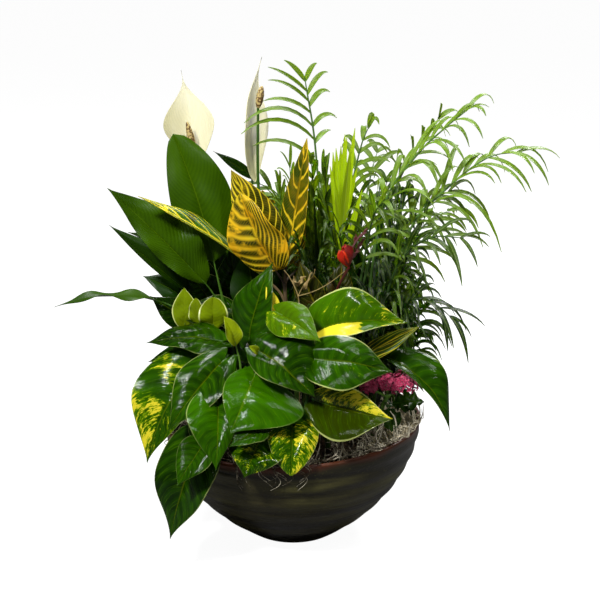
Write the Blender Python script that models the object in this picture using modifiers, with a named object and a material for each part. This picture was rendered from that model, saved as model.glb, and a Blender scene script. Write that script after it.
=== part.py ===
# Potted tropical arrangement: a dark glazed bowl planted with a parlor palm, a peace lily,
# crotons, golden pothos, kalanchoe and a small red bloom, dressed with moss.
# Metres, +Z up, the front towards -Y, the origin at the middle of the bowl's flat foot.

import math

import bmesh
import bpy
from mathutils import Matrix, Vector

# Bowl
BOWL_HEIGHT = 0.115
RIM_RADIUS = 0.127
FOOT_RADIUS = 0.044
WALL = 0.006
BOWL_FLOOR = 0.009
RIM_SLANT = 0.006
RIDGE_HEIGHT = 0.0011
RIDGE_COUNT = 7
BOWL_SIDES = 34
BOWL_ROWS = 11

# Soil and moss
SOIL_EDGE = 0.098
SOIL_DOME = 0.010
HOLE_DEPTH = 0.014
HOLE_SIDES = 4
MOSS_INNER = 0.096
MOSS_HEIGHT = 0.009

# Stems, as radii
LILY_PETIOLE = 0.0018
LILY_STALK = 0.0019
LEAFY_STEM = 0.0022
PETIOLE = 0.0011
KALANCHOE_STEM = 0.0024
KALANCHOE_PETIOLE = 0.0013
RED_STEM = 0.0015
FOOT_RISE = 0.004

# Palm fronds
LEAFLET_WIDTH = 0.0095
LEAFLET_BELLY = 0.45
LEAFLET_ROOT = 0.0040
LEAFLET_THICKNESS = 0.0009
RIB_WIDTH = 0.0024
FROND_STALK = 0.0016

# Blooms
SPADIX_RADIUS = 0.0036
CORE_SHARE = 0.76
FLORET_RADIUS = 0.0038
BLOOM_DEPTH = 0.005

# Fits
GAP = 0.0003
MERGE = 0.00001
BLADE = 0.0008
NECK = 0.00036

# The reference view, which places a leaf by where it is seen and how deep it lies
VIEW_ELEVATION = math.radians(16.5)
VIEW_DISTANCE = 1.5
VIEW_FOCAL = 1538.0
VIEW_CENTRE = 300.0
VIEW_AIM = Vector((0.0068, 0.0, 0.2380))
VIEW_FORWARD = Vector((0.0, math.cos(VIEW_ELEVATION), -math.sin(VIEW_ELEVATION)))
VIEW_UP = Vector((0.0, math.sin(VIEW_ELEVATION), math.cos(VIEW_ELEVATION)))
VIEW_EYE = VIEW_AIM - VIEW_FORWARD * VIEW_DISTANCE

UP = Vector((0.0, 0.0, 1.0))
GREEN_DARK = (0.035, 0.11, 0.02)
GREEN = (0.06, 0.22, 0.02)
GREEN_LIGHT = (0.30, 0.50, 0.03)
PALM_GREEN = (0.05, 0.17, 0.025)
CREAM = (0.85, 0.82, 0.62)
TAN = (0.42, 0.25, 0.08)
MAGENTA = (0.55, 0.03, 0.16)
RED = (0.70, 0.05, 0.02)

roots = []


def seen(across, down, depth):
    """The point seen at (across, down) in the reference view, at this depth along Y."""
    sideways = (across - VIEW_CENTRE) / VIEW_FOCAL
    upwards = (VIEW_CENTRE - down) / VIEW_FOCAL
    ray = VIEW_FORWARD + Vector((sideways, 0.0, 0.0)) + VIEW_UP * upwards
    return VIEW_EYE + ray * ((depth - VIEW_EYE.y) / ray.y)


def clear_scene():
    for thing in list(bpy.data.objects):
        bpy.data.objects.remove(thing, do_unlink=True)
    for group in list(bpy.data.collections):
        bpy.data.collections.remove(group)


def new_collection(name):
    group = bpy.data.collections.new(name)
    bpy.context.scene.collection.children.link(group)
    return group


def material(name, colour, roughness, metallic=0.0):
    finish = bpy.data.materials.get(name) or bpy.data.materials.new(name)
    finish.use_nodes = True
    shader = finish.node_tree.nodes["Principled BSDF"]
    shader.inputs["Base Color"].default_value = (*colour, 1.0)
    shader.inputs["Roughness"].default_value = roughness
    shader.inputs["Metallic"].default_value = metallic
    return finish


def place(name, mesh, group):
    thing = bpy.data.objects.new(name, mesh)
    group.objects.link(thing)
    return thing


def bake(thing):
    """Applies an object's modifiers, or turns a curve into a closed mesh."""
    view = bpy.context.evaluated_depsgraph_get()
    mesh = bpy.data.meshes.new_from_object(thing.evaluated_get(view))
    shape = bmesh.new()
    shape.from_mesh(mesh)
    bmesh.ops.remove_doubles(shape, verts=shape.verts, dist=MERGE)
    bmesh.ops.recalc_face_normals(shape, faces=shape.faces)
    loose = [edge for edge in shape.edges if not edge.link_faces]
    bmesh.ops.delete(shape, geom=loose, context="EDGES")
    shape.to_mesh(mesh)
    shape.free()
    if thing.type == "CURVE":
        group = thing.users_collection[0]
        name = thing.name
        bpy.data.objects.remove(thing)
        return place(name, mesh, group)
    thing.modifiers.clear()
    thing.data = mesh
    return thing


def boolean(thing, operation, group):
    cut = thing.modifiers.new(operation, "BOOLEAN")
    cut.operand_type = "COLLECTION"
    cut.collection = group
    cut.operation = operation
    cut.solver = "MANIFOLD"
    baked = bake(thing)
    for piece in list(group.objects):
        bpy.data.objects.remove(piece)
    return baked


def finish_node(body, name, finish):
    body.name = name
    body.data.name = name
    body.data.materials.clear()
    body.data.materials.append(finish)
    body.data.shade_smooth()
    body.data.set_sharp_from_angle(angle=math.radians(50))


def fuse(name, pieces, finish):
    """Joins closed pieces that overlap into one solid node."""
    body = pieces[0]
    plants.objects.link(body)
    pieces_group.objects.unlink(body)
    if len(pieces) > 1:
        body = boolean(body, "UNION", pieces_group)
    finish_node(body, name, finish)


def shaped_grid(across, along, surface):
    """A grid of across by along faces, laid on surface(u, t), u from -1 to 1, t from 0 to 1."""
    shape = bmesh.new()
    bmesh.ops.create_grid(shape, x_segments=across, y_segments=along, size=1.0)
    for vert in shape.verts:
        vert.co = surface(vert.co.x, (vert.co.y + 1.0) / 2.0)
    bmesh.ops.remove_doubles(shape, verts=shape.verts, dist=MERGE)
    return shape


def mesh_from(shape, name):
    mesh = bpy.data.meshes.new(name)
    shape.to_mesh(mesh)
    shape.free()
    return mesh


def blade(surface, across, along, thickness=BLADE):
    shape = shaped_grid(across, along, surface)
    bmesh.ops.triangulate(shape, faces=shape.faces)
    thing = place("blade", mesh_from(shape, "blade"), pieces_group)
    thick = thing.modifiers.new("thickness", "SOLIDIFY")
    thick.thickness = thickness
    thick.offset = 0.0
    return bake(thing)


def rolled(section, sides, rings, name="roll"):
    """A closed tapering body: section(k, t) gives corner k of its ring at t."""
    def surface(u, t):
        return section(round((u + 1.0) / 2.0 * sides) % sides, t)

    shape = shaped_grid(sides, rings, surface)
    bmesh.ops.holes_fill(shape, edges=shape.edges, sides=sides)
    bmesh.ops.recalc_face_normals(shape, faces=shape.faces)
    bmesh.ops.triangulate(shape, faces=shape.faces)
    return place(name, mesh_from(shape, name), pieces_group)


def tube(points, radii, resolution=0):
    """A stem along points: a poly curve with a round bevel, tapering through radii."""
    curve = bpy.data.curves.new("stem", "CURVE")
    curve.dimensions = "3D"
    curve.bevel_depth = 1.0
    curve.bevel_resolution = resolution
    curve.use_fill_caps = True
    line = curve.splines.new("POLY")
    line.points.add(len(points) - 1)
    for spot, point, radius in zip(line.points, points, radii):
        spot.co = (*point, 1.0)
        spot.radius = radius
    return bake(place("stem", curve, pieces_group))


def bezier(points, t):
    a, b, c, d = points
    s = 1.0 - t
    return a * s**3 + b * 3 * s * s * t + c * 3 * s * t * t + d * t**3


def bezier_slope(points, t):
    a, b, c, d = points
    s = 1.0 - t
    return ((b - a) * s * s + (c - b) * 2 * s * t + (d - c) * t * t).normalized()


def smooth_path(points, steps):
    """A Catmull-Rom curve through the points, with this many steps from one to the next."""
    ends = [points[0] * 2 - points[1], *points, points[-1] * 2 - points[-2]]
    path = []
    for i in range(1, len(ends) - 2):
        a, b, c, d = ends[i - 1:i + 3]
        for step in range(steps):
            t = step / steps
            path.append(0.5 * (b * 2 + (c - a) * t + (a * 2 - b * 5 + c * 4 - d) * t * t
                               + (b * 3 - a - c * 3 + d) * t**3))
    return [*path, points[-1]]


def along_path(path, share):
    """The point and the direction at this share of a path's length."""
    lengths = [(b - a).length for a, b in zip(path, path[1:])]
    target = share * sum(lengths)
    for i, length in enumerate(lengths):
        if target <= length or i == len(lengths) - 1:
            step = path[i + 1] - path[i]
            return path[i] + step * (target / length), step.normalized()
        target -= length
    return path[-1], (path[-1] - path[-2]).normalized()


# Bowl, soil and moss

def bowl_radius(height):
    """The outer radius of the bowl at a height, before its rim is slanted."""
    rise = min(max(height / BOWL_HEIGHT, 0.0), 1.0)
    round_part = 1.0 - (1.0 - rise) ** 2.4
    return FOOT_RADIUS + (RIM_RADIUS - FOOT_RADIUS) * (0.80 * round_part + 0.20 * rise)


def slanted(point):
    """The potter's uneven rim: the right side stands higher than the left."""
    share = max(point.z, 0.0) / BOWL_HEIGHT
    return point + UP * (RIM_SLANT * share * point.x / RIM_RADIUS)


def turned(name, profile, group, sides=BOWL_SIDES):
    """Spins a profile of (radius, height) round the Z axis into a closed body."""
    shape = bmesh.new()
    verts = [shape.verts.new((radius, 0.0, height)) for radius, height in profile]
    for a, b in zip(verts, verts[1:]):
        shape.edges.new((a, b))
    thing = place(name, mesh_from(shape, name), group)
    spin = thing.modifiers.new("spin", "SCREW")
    spin.steps = sides
    spin.render_steps = sides
    spin.use_merge_vertices = True
    spin.merge_threshold = 0.0001
    return bake(thing)


def move_points(thing, rule):
    for vert in thing.data.vertices:
        vert.co = rule(vert.co.copy())


def ridged(point):
    """Uneven thrown ridges on the outside that climb a little to the right."""
    radius = math.hypot(point.x, point.y)
    if point.z < 0.004 or radius < bowl_radius(point.z) - WALL / 2:
        return slanted(point)
    angle = math.atan2(point.y, point.x)
    share = point.z / BOWL_HEIGHT
    wander = 0.5 * math.sin(angle * 2 + 0.6) + 0.35 * math.sin(angle * 3 + 2.0)
    push = RIDGE_HEIGHT * math.sin(2 * math.pi * RIDGE_COUNT * share + wander)
    fade = min(share * 6, 1.0) * min((1.0 - share) * 10, 1.0)
    return slanted(Vector((point.x, point.y, 0.0)) * (1 + push * fade / radius) + UP * point.z)


def wall_rows():
    """The inside of the bowl from its floor to the rim, as (radius, height)."""
    rows = []
    for step in range(1, 5):
        height = BOWL_FLOOR + (BOWL_HEIGHT - WALL / 2 - BOWL_FLOOR) * (step / 4) ** 1.2
        rows.append((bowl_radius(height) - WALL, height))
    return [(bowl_radius(BOWL_FLOOR) - WALL, BOWL_FLOOR), *rows]


def inner_radius(height):
    for (low_radius, low), (high_radius, high) in zip(wall_rows(), wall_rows()[1:]):
        if height <= high:
            return low_radius + (high_radius - low_radius) * (height - low) / (high - low)
    return high_radius


def make_bowl():
    lip = [(RIM_RADIUS - WALL * 0.5, BOWL_HEIGHT)]
    outer = []
    for step in range(BOWL_ROWS + 1):
        height = (BOWL_HEIGHT - WALL / 3) * (1 - step / BOWL_ROWS)
        outer.append((bowl_radius(height), height))
    bowl = turned("bowl", [(0.0, BOWL_FLOOR), *wall_rows(), *lip, *outer, (0.0, 0.0)], plants)
    move_points(bowl, ridged)
    finish_node(bowl, "bowl", material("bowl_glaze", (0.035, 0.028, 0.02), 0.35))


def soil_height(x, y):
    """The top of the soil, domed in the middle and slanted with the bowl."""
    share = min(math.hypot(x, y) / (RIM_RADIUS - WALL), 1.0)
    height = SOIL_EDGE + SOIL_DOME * (1 - share * share)
    return slanted(Vector((x, y, height))).z


def make_soil():
    bottom = BOWL_FLOOR + GAP
    edge = inner_radius(SOIL_EDGE) - 3 * GAP
    profile = []
    for radius in (0.0, edge * 0.6, edge):
        share = radius / (RIM_RADIUS - WALL)
        profile.append((radius, SOIL_EDGE + SOIL_DOME * (1 - share * share)))
    heights = [bottom, *(height for _, height in wall_rows() if bottom < height < SOIL_EDGE)]
    sides = [(inner_radius(height - 3 * GAP) - 3 * GAP, height) for height in heights]
    soil = turned("soil", [*profile, *reversed(sides), (0.0, bottom)], plants)
    move_points(soil, slanted)
    for x, y, radius in roots:
        size = (radius + GAP) / math.cos(math.pi / HOLE_SIDES) + 0.0001
        shape = bmesh.new()
        bmesh.ops.create_cone(shape, cap_ends=True, segments=HOLE_SIDES, radius1=size,
                              radius2=size, depth=HOLE_DEPTH * 2)
        hole = place("hole", mesh_from(shape, "hole"), cutters)
        hole.data.transform(Matrix.Translation((x, y, soil_height(x, y))))
        hole.hide_render = True
        hole.display_type = "WIRE"
    soil = boolean(soil, "DIFFERENCE", cutters)
    finish_node(soil, "soil", material("soil_earth", (0.03, 0.02, 0.012), 0.9))


def make_moss():
    """A rough ring of moss on the soil, just inside the rim."""
    outer = inner_radius(SOIL_EDGE) - 4 * GAP
    rings = [(MOSS_INNER, 0.0), (MOSS_INNER + 0.004, 1.0), (outer - 0.003, 1.0), (outer, 0.0),
             (MOSS_INNER, 0.0)]
    moss = turned("moss_mat", rings, plants, sides=32)

    def lumpy(point):
        angle = math.atan2(point.y, point.x)
        swell = 1 + 0.25 * math.sin(angle * 5 + 1) + 0.2 * math.sin(angle * 7 + 3)
        floor = soil_height(point.x, point.y) + 2 * GAP
        return Vector((point.x, point.y, floor + MOSS_HEIGHT * swell * point.z))

    move_points(moss, lumpy)
    finish_node(moss, "moss_mat", material("moss", (0.24, 0.19, 0.11), 0.95))


# Leaves

OUTLINES = {
    # name: (where it is widest, roundness at the base, sharpness at the tip, share at the base)
    "heart": (0.66, 0.65, 1.15, 0.42),
    "lance": (0.80, 0.80, 1.35, 0.0),
    "oval": (0.95, 0.75, 0.95, 0.0),
    "strap": (0.90, 0.55, 0.90, 0.0),
    "broad": (1.20, 0.75, 0.75, 0.0),
    "spathe": (0.82, 0.70, 1.70, 0.0),
}

# Faces across and along a blade
GRIDS = {"heart": (4, 4), "lance": (2, 6), "oval": (2, 5), "strap": (2, 5), "broad": (2, 5),
         "spathe": (4, 6)}


def leaf_surface(leaf):
    """The sheet of a leaf: u across from -1 to 1, t along from its base to its tip."""
    base, tip = leaf["base"], leaf["tip"]
    chord = tip - base
    length = chord.length
    along = chord / length
    face = Vector(leaf["face"])
    face = (face - along * face.dot(along)).normalized()
    low, high = leaf.get("arch", (0.10, 0.10))
    spine = (base, base + chord / 3 + face * low * length,
             base + chord * 2 / 3 + face * high * length, tip)
    peak, blunt, sharp, heel = OUTLINES[leaf.get("outline", "heart")]
    fold = math.radians(leaf.get("fold", 15))
    cup = leaf.get("cup", 0.0)
    wave = leaf.get("wave", 0.12)
    waves = leaf.get("waves", 1.5)
    twist = math.radians(leaf.get("twist", 0))
    lobe = leaf.get("lobe", 0.14 if heel else 0.0)

    def width(t):
        swell = math.sin(math.pi * min(t, 1.0) ** peak) if 0.0 < t < 1.0 else 0.0
        round_part = swell ** (blunt + (sharp - blunt) * t)
        return leaf["width"] / 2 * max(round_part, heel * (1 - t * 4))

    def surface(u, t):
        middle = bezier(spine, t)
        slope = bezier_slope(spine, t)
        out = (face - slope * face.dot(slope)).normalized()
        side = slope.cross(out)
        turn = twist * t
        side, out = (side * math.cos(turn) + out * math.sin(turn),
                     out * math.cos(turn) - side * math.sin(turn))
        reach = abs(u) * width(t)
        back = lobe * length * math.sin(math.pi * 0.8 * abs(u)) * (1 - t) ** 3
        lift = reach * math.sin(fold) + cup * reach * reach / leaf["width"]
        lift += wave * reach * abs(u) * math.sin(2 * math.pi * waves * t + (0.7 if u > 0 else 2.4))
        return (middle + side * math.copysign(reach * math.cos(fold), u) + out * lift
                - slope * back)

    return surface, spine


def leaf_blade(leaf):
    surface, _ = leaf_surface(leaf)
    across, along = leaf.get("grid", GRIDS[leaf.get("outline", "heart")])
    return blade(surface, across, along)


def rooted(root, radius):
    """Notes a stem's place in the soil, and gives the two points of its upright foot."""
    x, y = root
    roots.append((x, y, radius))
    top = soil_height(x, y)
    return [Vector((x, y, top - HOLE_DEPTH + 2 * GAP)), Vector((x, y, top + FOOT_RISE))]


def stalk_to_leaf(start, climb, leaf, radius, steps=4):
    """A petiole from start, first towards climb, that ends inside the base of a leaf."""
    _, spine = leaf_surface(leaf)
    heart = OUTLINES[leaf.get("outline", "heart")][3] > 0
    end = bezier(spine, 0.03 if heart else 0.12)
    reach = (end - start).length
    arc = (start, start + climb * reach * leaf.get("rise", 0.45),
           end - bezier_slope(spine, 0.0) * reach * leaf.get("lead", 0.35), end)
    points = [bezier(arc, step / steps) for step in range(steps + 1)]
    radii = [radius * (1.0 - 0.40 * step / steps) for step in range(steps)]
    return points, [*radii, NECK]


def make_rooted_leaf(name, leaf, finish, radius=LILY_PETIOLE):
    foot = rooted(leaf["root"], radius)
    points, radii = stalk_to_leaf(foot[1], UP, leaf, radius)
    stem = tube([foot[0], *points], [radius, *radii])
    fuse(name, [leaf_blade(leaf), stem], finish)


def make_leafy_stem(name, plant, finish, radius=LEAFY_STEM):
    """A stem in the soil with leaves on stalks, each leaving it at its own share of the way."""
    foot = rooted(plant["root"], radius)
    path = smooth_path([foot[1], *plant["stem"]], 2)
    count = len(path)
    radii = [radius * (1.0 - 0.4 * i / count) for i in range(count)]
    pieces = [tube([foot[0], *path], [radius, *radii])]
    for leaf in plant["leaves"]:
        start, climb = along_path(path, leaf.get("from", 0.9))
        stalk = plant.get("stalk", PETIOLE)
        points, stalk_radii = stalk_to_leaf(start, climb, leaf, stalk, steps=3)
        pieces.append(tube(points, stalk_radii))
        pieces.append(leaf_blade(leaf))
    fuse(name, pieces, finish)


PEACE_LILY_LEAVES = {
    "peace_lily_leaf_1": {
        "root": (-0.056, 0.020), "base": seen(214, 262, 0.012), "tip": seen(173, 134, 0.030),
        "face": (0.15, -1.0, 0.25), "width": 0.062, "arch": (0.03, 0.02), "fold": 10},
    "peace_lily_leaf_2": {
        "root": (-0.070, 0.012), "base": seen(206, 284, 0.000), "tip": seen(107, 188, -0.010),
        "face": (-0.35, -0.75, 0.55), "width": 0.058, "arch": (0.08, 0.06), "fold": 12},
    "peace_lily_leaf_3": {
        "root": (-0.080, 0.026), "base": seen(188, 292, 0.028), "tip": seen(109, 225, 0.026),
        "face": (-0.30, -0.80, 0.45), "width": 0.044, "arch": (0.12, 0.08)},
    "peace_lily_leaf_4": {
        "root": (-0.082, 0.012), "base": seen(165, 303, 0.006), "tip": seen(54, 307, -0.024),
        "face": (0.05, -0.12, 1.0), "width": 0.046, "arch": (0.14, 0.14), "fold": 8},
    "peace_lily_leaf_5": {
        "root": (-0.066, 0.036), "base": seen(192, 305, 0.048), "tip": seen(143, 276, 0.052),
        "face": (0.0, -0.5, 0.85), "width": 0.034, "arch": (0.12, 0.10)},
    "peace_lily_leaf_6": {
        "root": (-0.048, 0.034), "base": seen(232, 292, 0.062), "tip": seen(160, 262, 0.070),
        "face": (0.0, -0.6, 0.80), "width": 0.042, "arch": (0.15, 0.10)},
    "peace_lily_leaf_7": {
        "root": (-0.066, 0.050), "base": seen(222, 262, 0.085), "tip": seen(204, 172, 0.115),
        "face": (0.0, 0.9, 0.45), "width": 0.056, "arch": (0.08, 0.08)},
    "peace_lily_leaf_8": {
        "root": (-0.074, 0.046), "base": seen(190, 280, 0.085), "tip": seen(128, 232, 0.110),
        "face": (-0.3, 0.5, 0.8), "width": 0.050, "arch": (0.12, 0.12)},
    "peace_lily_leaf_10": {
        "root": (-0.030, 0.024), "base": seen(258, 318, 0.030), "tip": seen(246, 246, 0.044),
        "face": (-0.1, -0.8, 0.5), "width": 0.046, "arch": (0.08, 0.08)},
    "peace_lily_leaf_9": {
        "root": (-0.058, 0.066), "base": seen(232, 310, 0.120), "tip": seen(205, 318, 0.215),
        "face": (-0.1, 0.2, 1.0), "width": 0.054, "arch": (0.22, 0.16)},
}

SPATHES = {
    "1": {
        "root": (-0.058, 0.044), "stalk": [seen(219, 290, 0.046), seen(201, 200, 0.052)],
        "top": seen(196, 160, 0.052), "spadix": seen(187, 122, 0.046),
        "leaf": {"base": seen(196, 162, 0.0545), "tip": seen(181, 70, 0.056),
                 "face": (-0.05, -1.0, 0.15), "width": 0.050, "arch": (-0.10, -0.06), "cup": 0.9,
                 "fold": 8, "outline": "spathe", "wave": 0.0}},
    "2": {
        "root": (-0.036, 0.048), "stalk": [seen(262, 260, 0.045), seen(258, 178, 0.040)],
        "top": seen(258, 108, 0.038), "spadix": seen(262, 86, 0.037),
        "leaf": {"base": seen(255.2, 182, 0.0405), "tip": seen(262, 57, 0.046),
                 "face": (0.80, -0.35, 0.10), "width": 0.050, "arch": (-0.14, -0.10), "cup": 0.9,
                 "fold": 8, "outline": "spathe", "wave": 0.0}},
}

CROTONS = {
    "croton_stem_1": {
        "root": (-0.012, 0.010), "stalk": 0.0016,
        "stem": [seen(286, 330, 0.008), seen(285, 285, 0.008), seen(286, 262, 0.010)],
        "leaves": [
            {"base": seen(276, 271, -0.006), "tip": seen(240, 193, -0.022), "from": 0.80,
             "face": (-0.50, -0.80, 0.40), "width": 0.062, "arch": (0.04, 0.05), "fold": 22,
             "outline": "broad"},
            {"base": seen(284, 266, 0.008), "tip": seen(231, 170, 0.002), "from": 0.95,
             "face": (-0.10, -0.90, 0.35), "width": 0.050, "arch": (0.06, 0.06),
             "outline": "oval"},
            {"base": seen(290, 262, 0.008), "tip": seen(308, 138, 0.004), "from": 0.95,
             "face": (-0.45, -0.90, 0.10), "width": 0.032, "arch": (0.04, 0.03), "twist": 40,
             "outline": "strap"},
            {"base": seen(262, 276, 0.010), "tip": seen(138, 196, -0.038), "from": 0.70,
             "face": (0.0, -0.30, 0.95), "width": 0.040, "arch": (0.06, 0.04),
             "outline": "strap"},
            {"base": seen(297, 268, 0.020), "tip": seen(303, 212, 0.024), "from": 0.85,
             "face": (-0.60, -0.80, 0.0), "width": 0.016, "arch": (0.04, 0.03),
             "outline": "strap", "grid": (2, 5)},
        ]},
    "croton_stem_2": {
        "root": (0.030, -0.012), "stalk": 0.0015,
        "stem": [seen(328, 385, -0.018), seen(330, 350, -0.030)],
        "leaves": [
            {"base": seen(342, 366, -0.048), "tip": seen(418, 331, -0.062), "from": 0.7,
             "face": (-0.10, -0.55, 0.85), "width": 0.044, "arch": (0.08, 0.06),
             "outline": "oval"},
            {"base": seen(322, 318, -0.030), "tip": seen(300, 262, -0.026), "from": 0.95,
             "face": (-0.40, -0.85, 0.35), "width": 0.030, "outline": "strap"},
            {"base": seen(336, 312, -0.024), "tip": seen(342, 262, -0.016), "from": 0.95,
             "face": (0.10, -0.90, 0.35), "width": 0.026, "outline": "strap"},
        ]},
    "croton_stem_3": {
        "root": (-0.006, 0.062), "stalk": 0.0015,
        "stem": [seen(292, 330, 0.085), seen(290, 280, 0.095)],
        "leaves": [
            {"base": seen(284, 255, 0.105), "tip": seen(262, 190, 0.130), "from": 0.95,
             "face": (-0.2, 0.8, 0.5), "width": 0.044, "outline": "oval"},
            {"base": seen(300, 262, 0.104), "tip": seen(316, 215, 0.126), "from": 0.9,
             "face": (0.3, 0.6, 0.7), "width": 0.042, "outline": "oval"},
            {"base": seen(290, 300, 0.120), "tip": seen(280, 300, 0.205), "from": 0.8,
             "face": (0.0, 0.2, 1.0), "width": 0.044, "arch": (0.18, 0.14), "outline": "oval"},
        ]},
}

POTHOS = {
    "pothos_vine_1": {
        "root": (0.004, -0.034),
        "stem": [seen(296, 375, -0.045), seen(290, 345, -0.062)],
        "leaves": [
            {"base": seen(313, 334, -0.062), "tip": seen(408, 323, -0.072), "from": 0.95,
             "face": (0.10, -0.70, 0.75), "width": 0.066, "fold": 32, "arch": (0.12, 0.10)},
            {"base": seen(280, 308, -0.076), "tip": seen(322, 341, -0.114), "from": 0.9,
             "face": (-0.30, -0.60, 0.80), "width": 0.042},
            {"base": seen(249, 340, -0.052), "tip": seen(273, 262, -0.044), "from": 0.85,
             "face": (-0.50, -0.80, 0.35), "width": 0.048},
            {"base": seen(262, 351, -0.092), "tip": seen(315, 396, -0.118), "from": 0.9,
             "face": (0.15, -0.70, 0.70), "width": 0.052},
            {"base": seen(286, 350, -0.106), "tip": seen(393, 371, -0.120), "from": 0.95,
             "face": (0.10, -0.65, 0.75), "width": 0.048, "fold": 14},
            {"base": seen(268, 378, -0.110), "tip": seen(231, 434, -0.146), "from": 0.8,
             "face": (0.35, -0.72, 0.60), "width": 0.064, "fold": 8},
        ]},
    "pothos_vine_2": {
        "root": (-0.052, -0.030),
        "stem": [seen(232, 385, -0.050), seen(222, 352, -0.055)],
        "leaves": [
            {"base": seen(200, 364, -0.060), "tip": seen(147, 463, -0.088), "from": 0.85,
             "face": (-0.50, -0.80, 0.45), "width": 0.060, "fold": 12},
            {"base": seen(224, 360, -0.088), "tip": seen(168, 431, -0.126), "from": 0.8,
             "face": (-0.10, -0.70, 0.72), "width": 0.050},
            {"base": seen(222, 341, -0.044), "tip": seen(146, 343, -0.050), "from": 0.95,
             "face": (-0.05, -0.35, 0.95), "width": 0.046, "fold": 10},
            {"base": seen(212, 354, -0.026), "tip": seen(148, 362, -0.026), "from": 0.7,
             "face": (-0.10, -0.40, 0.90), "width": 0.044},
            {"base": seen(188, 326, -0.014), "tip": seen(181, 290, -0.014), "from": 0.90,
             "face": (0.3, -0.9, 0.3), "width": 0.026, "outline": "oval"},
            {"base": seen(204, 320, -0.020), "tip": seen(202, 290, -0.022), "from": 0.84,
             "face": (-0.5, -0.8, 0.3), "width": 0.018, "outline": "oval", "grid": (2, 4)},
            {"base": seen(214, 324, -0.022), "tip": seen(218, 290, -0.026), "from": 0.99,
             "face": (0.2, -0.95, 0.3), "width": 0.024, "outline": "oval"},
        ]},
    "pothos_vine_3": {
        "root": (-0.064, -0.052),
        "stem": [seen(224, 414, -0.072), seen(218, 398, -0.084)],
        "leaves": [
            {"base": seen(203, 434, -0.100), "tip": seen(170, 539, -0.122), "from": 0.95,
             "face": (-0.40, -0.85, 0.35), "width": 0.056, "fold": 14, "arch": (0.12, 0.06)},
            {"base": seen(207, 440, -0.128), "tip": seen(177, 486, -0.148), "from": 0.9,
             "face": (-0.25, -0.85, 0.45), "width": 0.036},
            {"base": seen(218, 397, -0.110), "tip": seen(216, 470, -0.153), "from": 0.95,
             "face": (0.40, -0.85, 0.30), "width": 0.030},
            {"base": seen(211, 420, -0.092), "tip": seen(197, 452, -0.120), "from": 0.85,
             "face": (-0.30, -0.85, 0.40), "width": 0.034},
        ]},
    "pothos_vine_4": {
        "root": (-0.010, -0.066),
        "stem": [seen(286, 430, -0.082), seen(284, 412, -0.100)],
        "leaves": [
            {"base": seen(295, 414, -0.108), "tip": seen(300, 476, -0.142), "from": 0.95,
             "face": (0.10, -0.85, 0.50), "width": 0.050},
            {"base": seen(262, 436, -0.118), "tip": seen(244, 478, -0.144), "from": 0.7,
             "face": (-0.10, -0.85, 0.50), "width": 0.046},
            {"base": seen(264, 430, -0.132), "tip": seen(229, 447, -0.150), "from": 0.85,
             "face": (-0.20, -0.60, 0.80), "width": 0.026},
            {"base": seen(246, 374, -0.088), "tip": seen(232, 432, -0.112), "from": 0.6,
             "face": (-0.60, -0.75, 0.30), "width": 0.030},
        ]},
    "pothos_vine_5": {
        "root": (0.034, -0.056),
        "stem": [seen(318, 420, -0.078), seen(314, 402, -0.092)],
        "leaves": [
            {"base": seen(320, 398, -0.104), "tip": seen(396, 418, -0.122), "from": 0.95,
             "face": (0.05, -0.80, 0.55), "width": 0.050, "fold": 6},
        ]},
    "pothos_vine_6": {
        "root": (0.078, -0.010),
        "stem": [seen(374, 400, -0.024), seen(378, 372, -0.034)],
        "leaves": [
            {"base": seen(384, 356, -0.044), "tip": seen(450, 431, -0.066), "from": 0.95,
             "face": (0.45, -0.65, 0.65), "width": 0.048, "fold": 16, "arch": (0.14, 0.14)},
            {"base": seen(392, 372, -0.012), "tip": seen(446, 392, 0.020), "from": 0.7,
             "face": (0.5, -0.2, 0.9), "width": 0.046, "arch": (0.16, 0.14)},
        ]},
    "pothos_vine_7": {
        "root": (0.040, 0.072),
        "stem": [seen(340, 380, 0.080), seen(350, 360, 0.100)],
        "leaves": [
            {"base": seen(352, 352, 0.126), "tip": seen(362, 405, 0.192), "from": 0.95,
             "face": (0.1, 0.7, 0.8), "width": 0.058},
            {"base": seen(378, 360, 0.100), "tip": seen(424, 392, 0.130), "from": 0.85,
             "face": (0.6, 0.4, 0.8), "width": 0.054},
            {"base": seen(320, 358, 0.116), "tip": seen(284, 404, 0.164), "from": 0.75,
             "face": (-0.3, 0.7, 0.8), "width": 0.054},
        ]},
    "pothos_vine_8": {
        "root": (-0.048, 0.074),
        "stem": [seen(228, 385, 0.098), seen(222, 365, 0.106)],
        "leaves": [
            {"base": seen(218, 350, 0.122), "tip": seen(198, 402, 0.180), "from": 0.95,
             "face": (-0.5, 0.6, 0.8), "width": 0.058},
            {"base": seen(236, 354, 0.122), "tip": seen(250, 410, 0.192), "from": 0.85,
             "face": (0.1, 0.7, 0.8), "width": 0.054},
            {"base": seen(198, 366, 0.086), "tip": seen(150, 396, 0.096), "from": 0.7,
             "face": (-0.7, 0.3, 0.8), "width": 0.050},
        ]},
}

# Palm

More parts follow.
